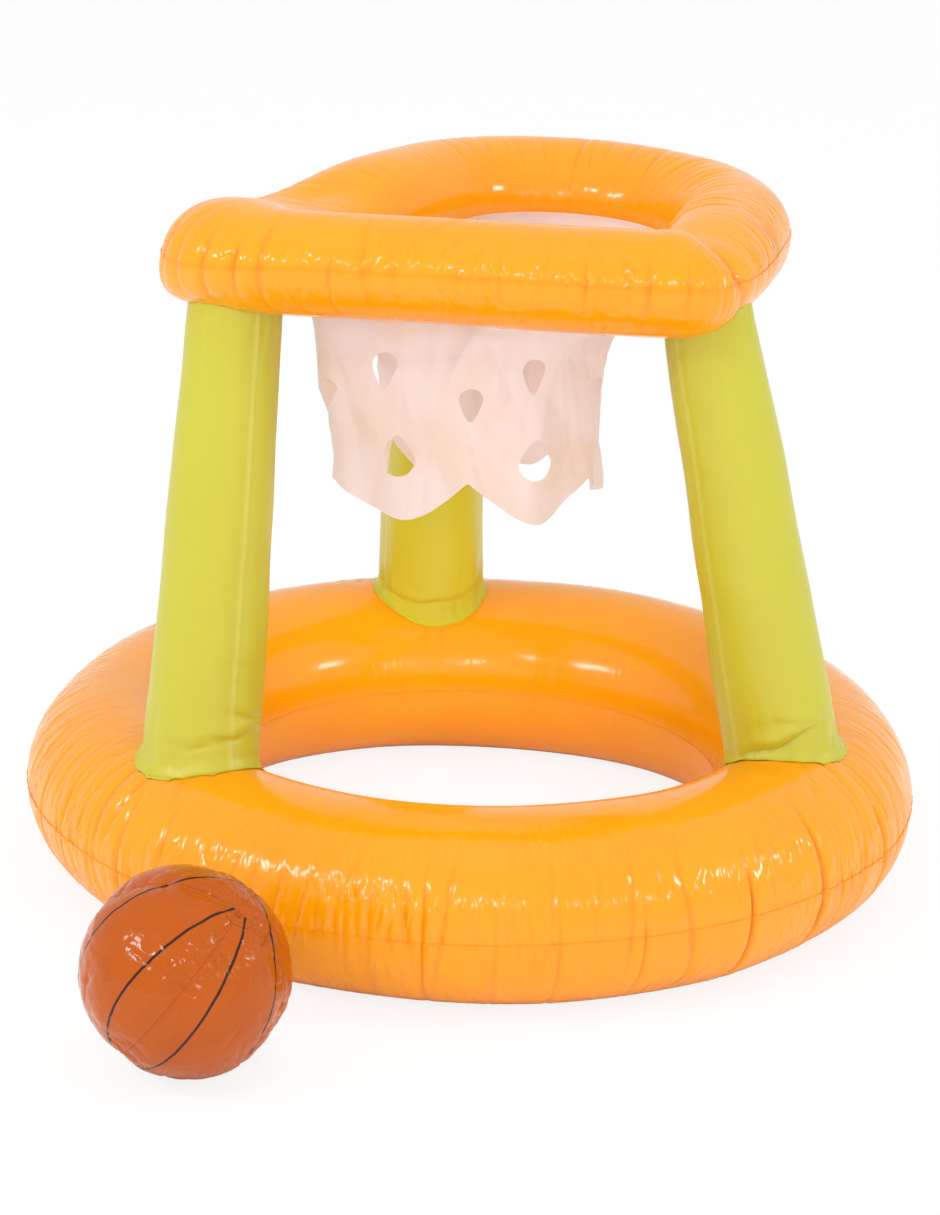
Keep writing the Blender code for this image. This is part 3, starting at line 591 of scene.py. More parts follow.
# Across the outer weld: long creases, short ones and small puckers above it. Then the back's tight
# bend, which gathers its upper film into long folds. Each row has their height in radians round the
# section, where they end, their spacing, depth, width, reach up and down, lean, and where they
# start. Those without an end run right round
HOOP_PUCKERS = (
    (0, None, (0.014, 0.040), (0.0003, 0.0021), (0.0018, 0.0032), (0.45, 1.3), (0.45, 1.1), 0.008),
    (0, None, (0.009, 0.024), (0.0001, 0.0009), (0.0013, 0.0022), (0.25, 0.70), (0.25, 0.60), 0.010),
    (0.45, None, (0.009, 0.024), (0.0002, 0.0011), (0.0013, 0.0024), (0.30, 0.50), (0.30, 0.50), 0.026),
    (1.85, 0.80, (0.009, 0.0155), (0.001, 0.0028), (0.0022, 0.0036), (0.55, 0.85), (0.45, 0.7), 0.010, 0.455),
    (1.85, 1.06, (0.012, 0.024), (0.0003, 0.0012), (0.0018, 0.0030), (0.45, 0.75), (0.4, 0.6), 0.010, 0.80),
)
HOOP_INNER_PUCKERS = ((0.010, 0.026), (0.0001, 0.0008), (0.0016, 0.0032), (0.25, 0.60), (0.25, 0.60), 0.006)
# Taut ridges that run slanting up the front's tube: place, depth, width, reach up and down, lean
HOOP_RIDGES = ((0.1430, -0.0026, 0.0026, 1.60, 0.10, 0.040), (0.1590, -0.0012, 0.0022, 1.50, 0.10, 0.043))
LEG_HEAD_TURNS = (194.0, -1.4, 126.3)
LEG_HEAD_OUTS = (-0.0063, 0.0100, 0.0016)


def hull_line(circles, arc_steps, straight_steps, least_radius=0.0):
    """Points round a loop of circles joined by tangent lines, counter-clockwise."""
    count = len(circles)
    turns = []
    for i in range(count):
        (x0, y0, r0), (x1, y1, r1) = circles[i], circles[(i + 1) % count]
        turns.append(math.atan2(y1 - y0, x1 - x0) - math.acos((r0 - r1) / math.hypot(x1 - x0, y1 - y0)))
    arcs = []
    for i, (x, y, radius) in enumerate(circles):
        start, end = turns[i - 1], turns[i]
        while end < start:
            end += 2 * math.pi
        if radius < least_radius:
            middle = (start + end) / 2
            shift = (least_radius - radius) / math.cos((end - start) / 2)
            x, y, radius = x - shift * math.cos(middle), y - shift * math.sin(middle), least_radius
        turn = np.linspace(start, end, arc_steps[i] + 1)
        arcs.append(np.stack([x + radius * np.cos(turn), y + radius * np.sin(turn)], 1))
    line = []
    for i, arc in enumerate(arcs):
        line.append(arc)
        share = np.arange(1, straight_steps)[:, None] / straight_steps
        line.append(arc[-1] + (arcs[(i + 1) % count][0] - arc[-1]) * share)
    return np.concatenate(line)


def hoop_line(offset):
    """The hoop's outline in plan, moved outward from the middle of its tube."""
    circles = [(*corner, HOOP_CORNER_RADIUS + offset) for corner in HOOP_CORNERS]
    circles.append((*HOOP_BACK, HOOP_BACK_RADIUS + offset))
    return hull_line(circles, HOOP_ARC_STEPS, HOOP_STRAIGHT_STEPS, 0.008)


def hoop_place():
    """The hoop's height and lean."""
    about_x, about_y = (Matrix.Rotation(math.radians(lean), 4, axis) for lean, axis in zip(HOOP_LEANS, "XY"))
    return Matrix.Translation((*BASE_MIDDLE, sizes().hoop_height)) @ (about_x @ about_y)


def place_points(points, matrix):
    matrix = np.array(matrix)
    return points @ matrix[:3, :3].T + matrix[:3, 3]


def hoop_stations():
    """Middles, outward directions, half widths, half heights, rolls and lengths round the ring."""
    s = sizes()
    outer, inner = hoop_line(s.hoop_half_width), hoop_line(-s.hoop_half_width)
    middle = (outer + inner) / 2
    half_width = np.linalg.norm(outer - inner, axis=1) / 2
    across = (outer - inner) / 2 / half_width[:, None]
    share = smooth(middle[:, 1], *HOOP_FRONT_TO_BACK)
    half_height = s.hoop_half_heights[0] + (s.hoop_half_heights[1] - s.hoop_half_heights[0]) * share
    steps = np.linalg.norm(np.roll(middle, -1, 0) - middle, axis=1)
    along = np.concatenate([[0], np.cumsum(steps)[:-1]])
    total = steps.sum()
    roll = HOOP_ROLLS[0] + (HOOP_ROLLS[1] - HOOP_ROLLS[0]) * share
    place, reach, droop = HOOP_DROOP
    roll = np.radians(roll - droop * bell(wrapped(along - place, total), reach))
    return middle, across, half_width, half_height, roll, along, total


def crease_share(along, total, place, depth, before, after, sharp):
    """Share of the tube's height lost round a place where two sides of the ring meet."""
    away = wrapped(along - place, total)
    reach = np.where(away > 0, after, before)
    return depth * ((1 - sharp) * bell(away, reach) + sharp * ridge(away, 0.35 * reach))


def right_crease(along, angle, total):
    """The crease that parts the front's tube, rounded at its end, from the side behind it: the film's heights
    there, and a narrow line of painted shade along its fold."""
    turn, place, depth = np.array(RIGHT_CREASE).T
    centre = np.interp(np.degrees(angle), turn, place)
    deep = np.interp(np.degrees(angle), turn, depth)
    offset = wrapped(along - centre, total)
    valley = bell(offset, np.where(offset > 0, 0.0200, 0.0085), 0.95)
    swell = 0.0030 * bell(offset + 0.022, 0.014)
    # Painted shade: a narrow dark line along the crease's bottom, with no height of its own
    pinch = FULL_CREASE_SHADE * bell(offset, 0.0022)
    share = deep / depth.max()
    return swell * share - 1.2 * deep * valley, pinch * share


def hoop_points():
    """Points of the hoop ring's film, their angles from the outer weld, and depths of folds, which set the
    painted crease shade.
    """
    middle, across, half_width, half_height, roll, along, total = hoop_stations()
    angle = np.linspace(0, 2 * math.pi, HOOP_SECTION, endpoint=False)[None, :]
    left = along[0]
    right = along[HOOP_ARC_STEPS[0] + HOOP_STRAIGHT_STEPS + HOOP_ARC_STEPS[1]]
    top = 1
    for place, pinch in zip((left, right), HOOP_PINCHES):
        top = top - crease_share(along, total, place, *pinch)
    x = half_width[:, None] * np.cos(angle)
    z = half_height[:, None] * np.sin(angle)
    z = np.where(z > 0, z * top[:, None], z)
    turn = roll[:, None]
    out = x * np.cos(turn) - z * np.sin(turn)
    rise = x * np.sin(turn) + z * np.cos(turn)
    plan = middle[:, None, :] + out[..., None] * across[:, None, :]
    points = np.concatenate([plan, rise[..., None]], axis=2)
    normals = grid_normals(points)
    rng = np.random.default_rng(SEEDS["hoop"])
    outer, inner = wrapped(angle), math.pi - angle
    along = along[:, None]
    named = [(place, CREASE_DEPTH * depth, *rest, 0.0) for place, depth, *rest in HOOP_CREASES]
    relief = valley_relief([*named, *HOOP_RIDGES], along, outer, total)
    crease, pinch = right_crease(along, outer - math.radians(RIGHT_CREASE_TURN), total)
    for place, reach, height, turned, spread in HOOP_SWELLS:
        crease = crease + height * bell(wrapped(along - place, total), reach) \
            * bell(np.degrees(outer) - turned, spread)
    for lift, end, *rest in HOOP_PUCKERS:
        relief += valley_relief(seam_valleys(rng, end or total, *rest), along, outer - lift, total)
    relief += valley_relief(seam_valleys(rng, total, *HOOP_INNER_PUCKERS), along, inner, total)
    relief += 0.00013 * ripples(rng, along, outer, total, (0.008, 0.020), (1.0, 4.0)) * bell(outer, 1.6)
    # Painted crease shade: the creases' depths, and the painted dark line along the right crease
    folds = pinch - relief
    relief += 0.0005 * wave_noise(rng, points, (0.07, 0.2)) + crease
    points = place_points(points + normals * relief[..., None], hoop_place())
    normals = normals @ np.array(hoop_place().to_3x3()).T
    folds = folds * seat_valve(points, normals, "hoop", ["hoop_upper_film"])
    return points, outer + 0 * along, folds


# Legs

def leg_head(index):
    """Where a leg meets the underside of the hoop."""
    x, y = (*HOOP_CORNERS, HOOP_BACK)[index]
    turn = math.radians(LEG_HEAD_TURNS[index])
    reach = (HOOP_BACK_RADIUS if index == 2 else HOOP_CORNER_RADIUS) + LEG_HEAD_OUTS[index]
    return hoop_place() @ Vector((x + reach * math.cos(turn), y + reach * math.sin(turn),
                                  -sizes().hoop_half_heights[0]))


def leg_axes(index):
    """A leg's foot, head, axis, and two directions across it: to the right and to the front."""
    foot, head = foot_point(index), leg_head(index)
    axis = (head - foot).normalized()
    side = (Vector((1, 0, 0)) - axis * axis.x).normalized()
    return foot, head, axis, side, axis.cross(side)


LEG_ROWS = 150
LEG_COLUMNS = 132
LEG_SEAM_TURNS = (-66, -149, -160)  # degrees from the world's X, in plan
LEG_SUNK = 0.0012  # how far a leg's ends reach into the rings' films
LEG_FLARE = (0.0032, 0.007)  # how far a leg spreads at its foot weld, and over what height
LEG_END_PUCKERS = ((34, 0.0016), (24, 0.0012))  # at its foot and at its head: count and depth
LEG_WELD_PUCKERS = 16  # on each of its two welds


def leg_radius(share):
    """A leg's radius at a share of its length."""
    s = sizes()
    middle = s.leg_waist_radius * 2 - (s.leg_foot_radius + s.leg_head_radius) / 2
    rest = 1 - share
    return rest ** 2 * s.leg_foot_radius + 2 * share * rest * middle + share ** 2 * s.leg_head_radius


# Folds across each leg near its foot: height, tilt, depth, direction and spread
LEG_FOLDS = (((0.020, 0.004, 0.0020, -60, 0.55), (0.034, -0.010, 0.0014, -45, 0.40),
              (0.012, 0.003, 0.0012, -110, 0.7)),
             ((0.013, 0.009, 0.0036, -95, 0.95), (0.026, -0.006, 0.0014, -75, 0.6)),
             ((0.014, 0.002, 0.0016, -100, 1.1),))


def leg_tube(index, base_tree, hoop_tree):
    """Points of a leg's smooth film, from one ring's film to the other's."""
    foot, head, axis, side, front = leg_axes(index)
    length = (head - foot).length
    points = np.zeros((LEG_ROWS, LEG_COLUMNS, 3))
    even = np.linspace(0, 1, LEG_ROWS)
    shares = 0.6 * (0.5 - 0.5 * np.cos(math.pi * even)) + 0.4 * even  # closer at both ends
    for k in range(LEG_COLUMNS):
        turn = 2 * math.pi * k / LEG_COLUMNS
        out = side * math.cos(turn) + front * math.sin(turn)
        start = foot + axis * (0.3 * length)
        low = 0.3 * length - base_tree.ray_cast(start + out * leg_radius(0.02), -axis)[3] - LEG_SUNK
        start = foot + axis * (0.7 * length)
        hit = hoop_tree.ray_cast(start + out * leg_radius(0.98), axis)
        high = 0.7 * length + min(hit[3] if hit[0] else length, 0.3 * length + 0.030) + LEG_SUNK
        for row, share in enumerate(shares):
            height = low + (high - low) * share
            flare = LEG_FLARE[0] * bell(height - low, LEG_FLARE[1])
            radius = leg_radius(min(1, max(0, height / length))) + flare
            points[row, k] = foot + axis * height + out * radius
    return points


def leg_points(index, base_tree, hoop_tree):
    """Points of a leg's film with its folds, where its welds run, and its columns' turns."""
    points = leg_tube(index, base_tree, hoop_tree)
    foot, head, axis, _, _ = leg_axes(index)
    rng = np.random.default_rng(SEEDS["leg"] + index)
    away = points - np.array(foot)
    heights = away @ np.array(axis)
    normals = grid_normals(points, (False, True))
    if (normals * (away - heights[..., None] * np.array(axis))).sum() < 0:
        normals = -normals
    turn = (np.arange(LEG_COLUMNS) * 2 * math.pi / LEG_COLUMNS)[None, :]
    from_foot = np.linalg.norm(points - points[:1], axis=2)
    from_head = np.linalg.norm(points - points[-1:], axis=2)
    radius = sizes().leg_waist_radius
    relief = np.zeros((LEG_ROWS, LEG_COLUMNS))
    for distance, (count, deep) in zip((from_foot, from_head), LEG_END_PUCKERS):
        for _ in range(count):
            offset = wrapped(turn - rng.uniform(0, 2 * math.pi)) * radius - rng.uniform(-0.2, 0.2) * distance
            fade = bell(distance, rng.uniform(0.008, 0.05)) * smooth(distance, 0, 0.003)
            relief -= deep * fold(rng, offset, (0.2, 1), (0.0014, 0.0034)) * fade
    seam = math.radians(LEG_SEAM_TURNS[index])
    seam_turns = (seam, seam + math.pi)
    for seam in seam_turns:
        offset = wrapped(turn - seam) * radius
        relief += 0.0007 * bell(offset, 0.0011) - 0.0006 * bell(offset, 0.0060)
        for _ in range(LEG_WELD_PUCKERS):
            place = rng.uniform(0.05, 0.95) * (head - foot).length
            away = heights - place - rng.uniform(-0.25, 0.25) * np.abs(offset)
            relief -= fold(rng, away, (0.0002, 0.0008), (0.0015, 0.0035)) \
                * bell(offset, rng.uniform(0.008, 0.022))
    relief += 0.0006 * wave_noise(rng, points, (0.05, 0.16))
    relief *= smooth(from_foot, 0, 0.0015) * smooth(from_head, 0, 0.0015)
    # The film folds across just above the weld, where the leg leans on its foot
    for rise, tilt, deep, middle, spread in LEG_FOLDS[index]:
        offset = wrapped(turn - math.radians(middle))
        away = heights - rise - tilt * np.sin(offset) - 0.0012 * np.sin(7 * offset + rise * 900)
        relief -= deep * (ridge(away, 0.0022) - 0.6 * bell(away - 0.0065, 0.0055)) * bell(offset, spread)
    return points + normals * relief[..., None], seam_turns, turn


def make_leg(index, base_tree, hoop_tree, material):
    points, seam_turns, turn = leg_points(index, base_tree, hoop_tree)
    obj = add_grid(points)
    foot, head = foot_point(index), leg_head(index)
    scale_uv(obj, 2 * math.pi * sizes().leg_waist_radius, (head - foot).length)
    near = np.zeros((LEG_ROWS, LEG_COLUMNS + 1))
    turns = np.append(turn[0], 2 * math.pi)
    for seam in seam_turns:
        near = np.maximum(near, bell(wrapped(turns - seam) * sizes().leg_waist_radius, 0.0016)[None, :])
    set_attribute(obj, "weld_line", near)
    axis = (head - foot).normalized()
    close_grid(obj, lambda centre: centre - foot - axis * (centre - foot).dot(axis))
    solidify(obj, sizes().film)
    name = LEGS[index]
    return finish_piece(obj, f"leg_{name}_vinyl", material, "frame", "yellow_green_vinyl", f"leg_{name}_tube")


FOOT_WELD_ROWS = 8
FOOT_WELD_COLUMNS = 144
FOOT_WELD_INSET = 0.004     # how far it reaches in under the leg
FOOT_WELD_THICKNESS = 0.0004
FOOT_WELD_GAP = 0.0003      # over the base's film


def make_foot_weld(index, base_tree, material):
    """The leg's end disc, welded down on the base: a thin rim shows round the foot."""
    foot, _, axis, side, front = leg_axes(index)
    rng = np.random.default_rng(SEEDS["foot_weld"] + index)
    width = FOOT_WELD_INSET + sizes().foot_lip
    points = np.zeros((FOOT_WELD_ROWS, FOOT_WELD_COLUMNS, 3))
    wave = [rng.uniform(0, 2 * math.pi) for _ in range(5)]
    for k in range(FOOT_WELD_COLUMNS):
        turn = 2 * math.pi * k / FOOT_WELD_COLUMNS
        out = side * math.cos(turn) + front * math.sin(turn)
        ragged = sum(math.sin((i + 3) * turn + w) for i, w in enumerate(wave)) / 5
        for row, share in enumerate(np.linspace(0, 1, FOOT_WELD_ROWS)):
            radius = leg_radius(0.02) - FOOT_WELD_INSET + (width + 0.0010 * ragged) * share
            hit = base_tree.ray_cast(foot + axis * 0.05 + out * radius, -axis)
            ripple = 0.0004 * share * (1 + math.sin(11 * turn + wave[0]) * math.sin(5 * turn + wave[1]))
            points[row, k] = hit[0] + hit[1] * (FOOT_WELD_GAP + ripple)
    obj = add_grid(points)
    scale_uv(obj, 0.29, 0.012)
    close_grid(obj, lambda centre: Vector((0, 0, 1)))
    solidify(obj, FOOT_WELD_THICKNESS)
    name = LEGS[index]
    return finish_piece(obj, f"leg_{name}_foot_weld", material, "frame", "yellow_green_vinyl",
                        f"leg_{name}_foot_disc")


# Net

NET_COLUMNS = 300
NET_ROWS = 76
NET_MOUTH_INSET = 0.0040
NET_MOUTH_DRIFT = (-0.0465, -0.0485)
NET_CORNER_DRIFT = (0.0680, 0.0265)
NET_CORNER_RADIUS = 0.0140
NET_START = -0.0170
NET_SCALLOP = 0.029
NET_FOLD = 0.0060
NET_SHEET = (0.77, 0.19)  # the flat sleeve: round and deep
NET_THICKNESS = 0.00035
# How many packing folds it has: short ones at any angle, upright ones, broad facets, and creases
# that fan down from the weld over the front's middle
NET_CRUMPLES, NET_UPRIGHTS, NET_FACETS, NET_FANS = 120, 26, 24, 9
NET_SPREAD = 0.024  # share of the way round by which the front's holes have spread apart
# Rows of holes: share of the drop, width, length, turn in lobes, and which way the tip points
TEARDROPS = ((0.765, 0.026, 0.031, 0.5, 1), (0.515, 0.018, 0.025, 0.075, -1),
             (0.400, 0.018, 0.027, 0.5, -1))


def walk(line, shares, start_x):
    """Points at shares of the way round a closed line, from its front point at start_x."""
    following = np.roll(line, -1, 0)
    i = np.nonzero((line[:, 0] <= start_x) & (following[:, 0] > start_x))[0][0]
    share = (start_x - line[i, 0]) / (following[i, 0] - line[i, 0])
    first = line[i] + (following[i] - line[i]) * share
    path = np.concatenate([first[None], np.roll(line, -(i + 1), 0), first[None]])
    along = np.concatenate([[0], np.cumsum(np.linalg.norm(np.diff(path, axis=0), axis=1))])
    at = (np.asarray(shares) % 1) * along[-1]
    return np.stack([np.interp(at, along, path[:, axis]) for axis in range(line.shape[1])], -1)


def net_lines():
    """The line of the hoop's inner weld, and the line round the net's mouth in plan."""
    middle, across, half_width, _, roll, _, _ = hoop_stations()
    reach = half_width + 0.0018
    inward, drop = (reach * np.cos(roll))[:, None], (reach * np.sin(roll))[:, None]
    rim = place_points(np.concatenate([middle - across * inward, -drop], 1), hoop_place())
    (lx, ly), (bx, by) = HOOP_CORNERS[0], HOOP_BACK
    corner = (lx + NET_CORNER_DRIFT[0], ly + NET_CORNER_DRIFT[1], NET_CORNER_RADIUS)
    main = (bx + NET_MOUTH_DRIFT[0], by + NET_MOUTH_DRIFT[1],
            HOOP_BACK_RADIUS - sizes().hoop_half_width - 0.0015 - NET_MOUTH_INSET)
    mouth = hull_line((corner, main), (24, 120), 60) + np.array(BASE_MIDDLE)
    return rim, mouth


# How far the sleeve has slid to the left at shares of its drop, at its left and right ends
NET_SLIDE = ((0, 0, 0), (0.12, -0.006, -0.004), (0.27, -0.0165, -0.0105), (0.36, -0.0150, -0.0110),
             (0.60, -0.0115, -0.0104), (0.71, -0.0035, -0.0104), (0.91, 0.0015, -0.0100),
             (1, 0.0015, -0.0090))


def net_share(share):
    """The share of the way round at which a share of the flat sleeve hangs."""
    return share + NET_SPREAD * np.sin(2 * math.pi * np.asarray(share))


def net_slide(x, down):
    """The slide to the left of a point of the net, between its two ends."""
    s, left, right = np.array(NET_SLIDE).T
    share = smooth(x, BASE_MIDDLE[0] - 0.110, BASE_MIDDLE[0] + 0.090)
    return np.interp(down, s, left) * (1 - share) + np.interp(down, s, right) * share


def fold_distances(rng, around, drop, angles):
    """Distances across and along a fold at a random place of the net's sheet."""
    angle = rng.uniform(*angles)
    u = wrapped(around - rng.uniform(0, NET_SHEET[0]), NET_SHEET[0])
    v = drop - rng.uniform(0, NET_SHEET[1])
    return u * math.sin(angle) - v * math.cos(angle), u * math.cos(angle) + v * math.sin(angle)


def net_crumple(rng, around, drop):
    """Heights of the folds from the net's packing, over its sheet."""
    length = NET_SHEET[0]
    crumple = np.zeros(np.broadcast(around, drop).shape)
    for _ in range(NET_CRUMPLES):
        across_fold, along_fold = fold_distances(rng, around, drop, (0, math.pi))
        crumple += fold(rng, across_fold, (-1, 1), (0.003, 0.010)) \
            * bell(along_fold, rng.uniform(0.015, 0.045))
    for _ in range(NET_UPRIGHTS):
        offset = wrapped(around - rng.uniform(0, length) - rng.uniform(-0.35, 0.35) * drop, length)
        crumple += fold(rng, offset, (-1.4, 1.2), (0.0025, 0.008)) * rng.uniform(0.5, 1)
    for _ in range(NET_FACETS):
        across_fold, along_fold = fold_distances(rng, around, drop, (0.9, 2.2))
        crumple += rng.choice((-1.6, 1.6)) * ridge(across_fold, rng.uniform(0.014, 0.030)) \
            * bell(along_fold, 0.07)
    for _ in range(NET_FANS):
        offset = wrapped(around - 0.035 - rng.uniform(-1.1, 1.1) * drop, length)
        crumple += rng.uniform(0.3, 0.6) * rng.choice((-1, 1)) * ridge(offset, 0.0030) \
            * (1 - smooth(drop, 0.07, 0.14))
    return crumple


def net_points(rng):
    """Points of the net's sleeve, the two lines that it hangs between, and where they start."""
    s = sizes()
    rim, mouth = net_lines()
    start = BASE_MIDDLE[0] + NET_START
    round_share = np.arange(NET_COLUMNS) / NET_COLUMNS
    down = np.linspace(0, 1, NET_ROWS)[:, None]
    spread = net_share(round_share)
    top = walk(rim, spread, start)[None]
    foot = walk(mouth, spread, start)[None]
    ahead, behind = walk(mouth, spread + 0.01, start), walk(mouth, spread - 0.01, start)
    outward = np.stack([(ahead - behind)[:, 1], -(ahead - behind)[:, 0]], 1)
    outward = (outward / np.linalg.norm(outward, axis=1, keepdims=True))[None]
    lobe = round_share * s.net_lobes - 0.5
    across = 2 * (lobe - np.round(lobe))
    hem = s.net_hem + NET_SCALLOP * np.abs(across) ** 1.8 + 0.0016 * np.sin(9.3 * round_share * 2 * math.pi)
    gather = smooth(down, 0, 0.42)
    plan = top[..., :2] * (1 - gather[..., None]) + foot * gather[..., None]
    plan[..., 0] += net_slide(plan[..., 0], down)
    bulge = NET_FOLD * np.cos(2 * math.pi * lobe)[None] ** 2 * down
    height = top[..., 2] + (hem[None] - top[..., 2]) * down
    crumple = net_crumple(rng, round_share[None] * NET_SHEET[0], down * NET_SHEET[1])
    shift = bulge + 0.0026 * crumple * smooth(down, 0.02, 0.30)
    plan = plan + outward * shift[..., None]
    height = height + 0.0012 * crumple * down ** 3
    return np.concatenate([plan, height[..., None]], axis=2), rim, mouth, start


def teardrop_cutter(place, width, length, upward):
    """A bar with a teardrop's outline, from a cylinder one of whose halves is drawn out to a tip."""
    choose()
    bpy.ops.mesh.primitive_cylinder_add(vertices=32, radius=width / 2, depth=0.03, end_fill_type="NGON")
    cutter = bpy.context.object
    radius, rise = width / 2, length - width / 2
    for vertex in cutter.data.vertices:
        x, y, z = vertex.co
        if y > 0:
            share = y / radius
            x *= 1 - 0.35 * share
            y = rise * share ** 1.25
        vertex.co = place @ Vector((z, x, y * upward))
    cutter.data.update()
    return cutter


def make_net(material):
    rng = np.random.default_rng(SEEDS["net"])
    points, rim, mouth, start = net_points(rng)
    net = add_grid(points)
    scale_uv(net, *NET_SHEET)
    middle = Vector((points[..., 0].mean(), points[..., 1].mean(), 0))
    close_grid(net, lambda centre: (centre - middle) * Vector((1, 1, 0)))
    solidify(net, NET_THICKNESS)
    cutters = []
    for down, width, length, shift, upward in TEARDROPS:
        for lobe in range(sizes().net_lobes):
            share = net_share((lobe + shift) / sizes().net_lobes)
            x, y = walk(mouth, [share], start)[0]
            top = walk(rim, [share], start)[0]
            ahead = walk(mouth, [share + 0.01], start)[0] - walk(mouth, [share - 0.01], start)[0]
            out = Vector((ahead[1], -ahead[0], 0)).normalized()
            frame_axes = Matrix((out, Vector((0, 0, 1)).cross(out), (0, 0, 1))).transposed().to_4x4()
            x += net_slide(x, down)
            centre = Vector((x, y, top[2] + (sizes().net_hem - top[2]) * down))
            cutters.append(teardrop_cutter(Matrix.Translation(centre) @ frame_axes, width, length, upward))
    choose(*cutters)
    bpy.ops.object.join()
    cutter = bpy.context.object
    edit_mesh(cutter, lambda: bpy.ops.mesh.normals_make_consistent(inside=False))
    apply_modifier(net, "BOOLEAN", operation="DIFFERENCE", solver="EXACT", object=cutter)
    bpy.data.objects.remove(cutter)
    finish_piece(net, "net_vinyl", material, "frame", "pale_net_film", "net_film")
    return net


# Ball

BALL_POLE_TURN = -43
BALL_POLE_LIFT = 50
BALL_SEAM_TURN = -159
BALL_SEGMENTS = 320
BALL_WELD_PUCKERS = 30  # on each of its four welds
BALL_POLE_PUCKERS = 30  # round each pole
BALL_FOLDS = 130
BALL_PATCH_LIFT = 81  # degrees of latitude over which the pole patches lie
BALL_PATCH_EXTRA = 0.0004  # how much thicker than a gore they stand
FLOOR_GAP = 0.0003  # the ball's film stays this far over the floor


def ball_middle():
    """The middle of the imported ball, at the height of the inflated one."""
    boxes = [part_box(f"ball_gore_{k}") for k in (1, 2, 3, 4)]
    low = [min(b[0][i] for b in boxes) for i in range(3)]
    high = [max(b[1][i] for b in boxes) for i in range(3)]
    return Vector(((low[0] + high[0]) / 2, (low[1] + high[1]) / 2, sizes().ball_radius))


def ball_axes():
    """The ball's own X towards its front weld, and Z towards its upper pole."""
    turn, lift = math.radians(BALL_POLE_TURN), math.radians(BALL_POLE_LIFT)
    pole = Vector((math.cos(lift) * math.cos(turn), math.cos(lift) * math.sin(turn), math.sin(lift)))
    level = Vector((0, 0, 1)).cross(pole).normalized()
    axes = Matrix((level, pole.cross(level), pole)).transposed()
    return axes @ Matrix.Rotation(math.radians(BALL_SEAM_TURN), 3, "Z")


def ball_folds(rng, unit):
    """Heights of the ball's film: welds, puckers along them, and crumples between."""
    radius = sizes().ball_radius
    turn = np.arctan2(unit[:, 1], unit[:, 0])
    polar = np.arccos(np.clip(unit[:, 2], -1, 1))
    relief = 0.0009 * wave_noise(rng, unit, (0.8, 1.8)) + 0.00016 * wave_noise(rng, unit, (0.12, 0.30), 24)
    for seam in range(4):
        offset = wrapped(turn - seam * math.pi / 2) * np.sin(polar) * radius
        relief += 0.0006 * bell(offset, 0.0009) - 0.0016 * bell(offset, 0.009)
        for _ in range(BALL_WELD_PUCKERS):
            place = rng.uniform(0.2, math.pi - 0.2)
            away = (polar - place) * radius - rng.uniform(-0.6, 0.6) * np.abs(offset)
            fade = bell(offset, rng.uniform(0.006, 0.022))
            relief -= fold(rng, away, (0.0003, 0.0014), (0.0010, 0.0024)) * fade
    for pole in (0, math.pi):
        distance = np.abs(polar - pole) * radius
        for _ in range(BALL_POLE_PUCKERS):
            offset = wrapped(turn - rng.uniform(-math.pi, math.pi)) * np.maximum(distance, 0.004)
            fade = bell(distance, rng.uniform(0.018, 0.050)) * smooth(distance, 0.004, 0.012)
            relief -= fold(rng, offset, (0.0002, 0.0011), (0.0012, 0.0026)) * fade
    # Short straight folds, mostly from pole to pole
    for _ in range(BALL_FOLDS):
        place = rng.normal(size=3)
        place /= np.linalg.norm(place)
        across = np.cross(place, (0, 0, 1)) + 0.5 * rng.normal(size=3)
        across -= place * across.dot(place)
        across /= np.linalg.norm(across)
        along = np.cross(across, place)
        offset = (unit @ across) * radius
        fade = bell((unit @ along) * radius, rng.uniform(0.007, 0.024)) * (unit @ place > 0)
        relief -= fold(rng, offset, (0.0003, 0.0014), (0.0011, 0.0026)) * fade
    return relief


def cut_film(source, keep, centre):
    """A copy of the ball with only the faces to keep."""
    film = source.copy()
    film.data = source.data.copy()
    bpy.context.scene.collection.objects.link(film)
    choose(film)
    bpy.ops.object.mode_set(mode="EDIT")
    bpy.ops.mesh.select_all(action="DESELECT")
    bpy.ops.object.mode_set(mode="OBJECT")
    film.data.polygons.foreach_set("select", ~keep)
    bpy.ops.object.mode_set(mode="EDIT")
    bpy.ops.mesh.delete(type="FACE")
    bpy.ops.object.mode_set(mode="OBJECT")
    if sum(p.normal.dot(p.center - centre) for p in film.data.polygons) < 0:
        film.data.flip_normals()
    return film


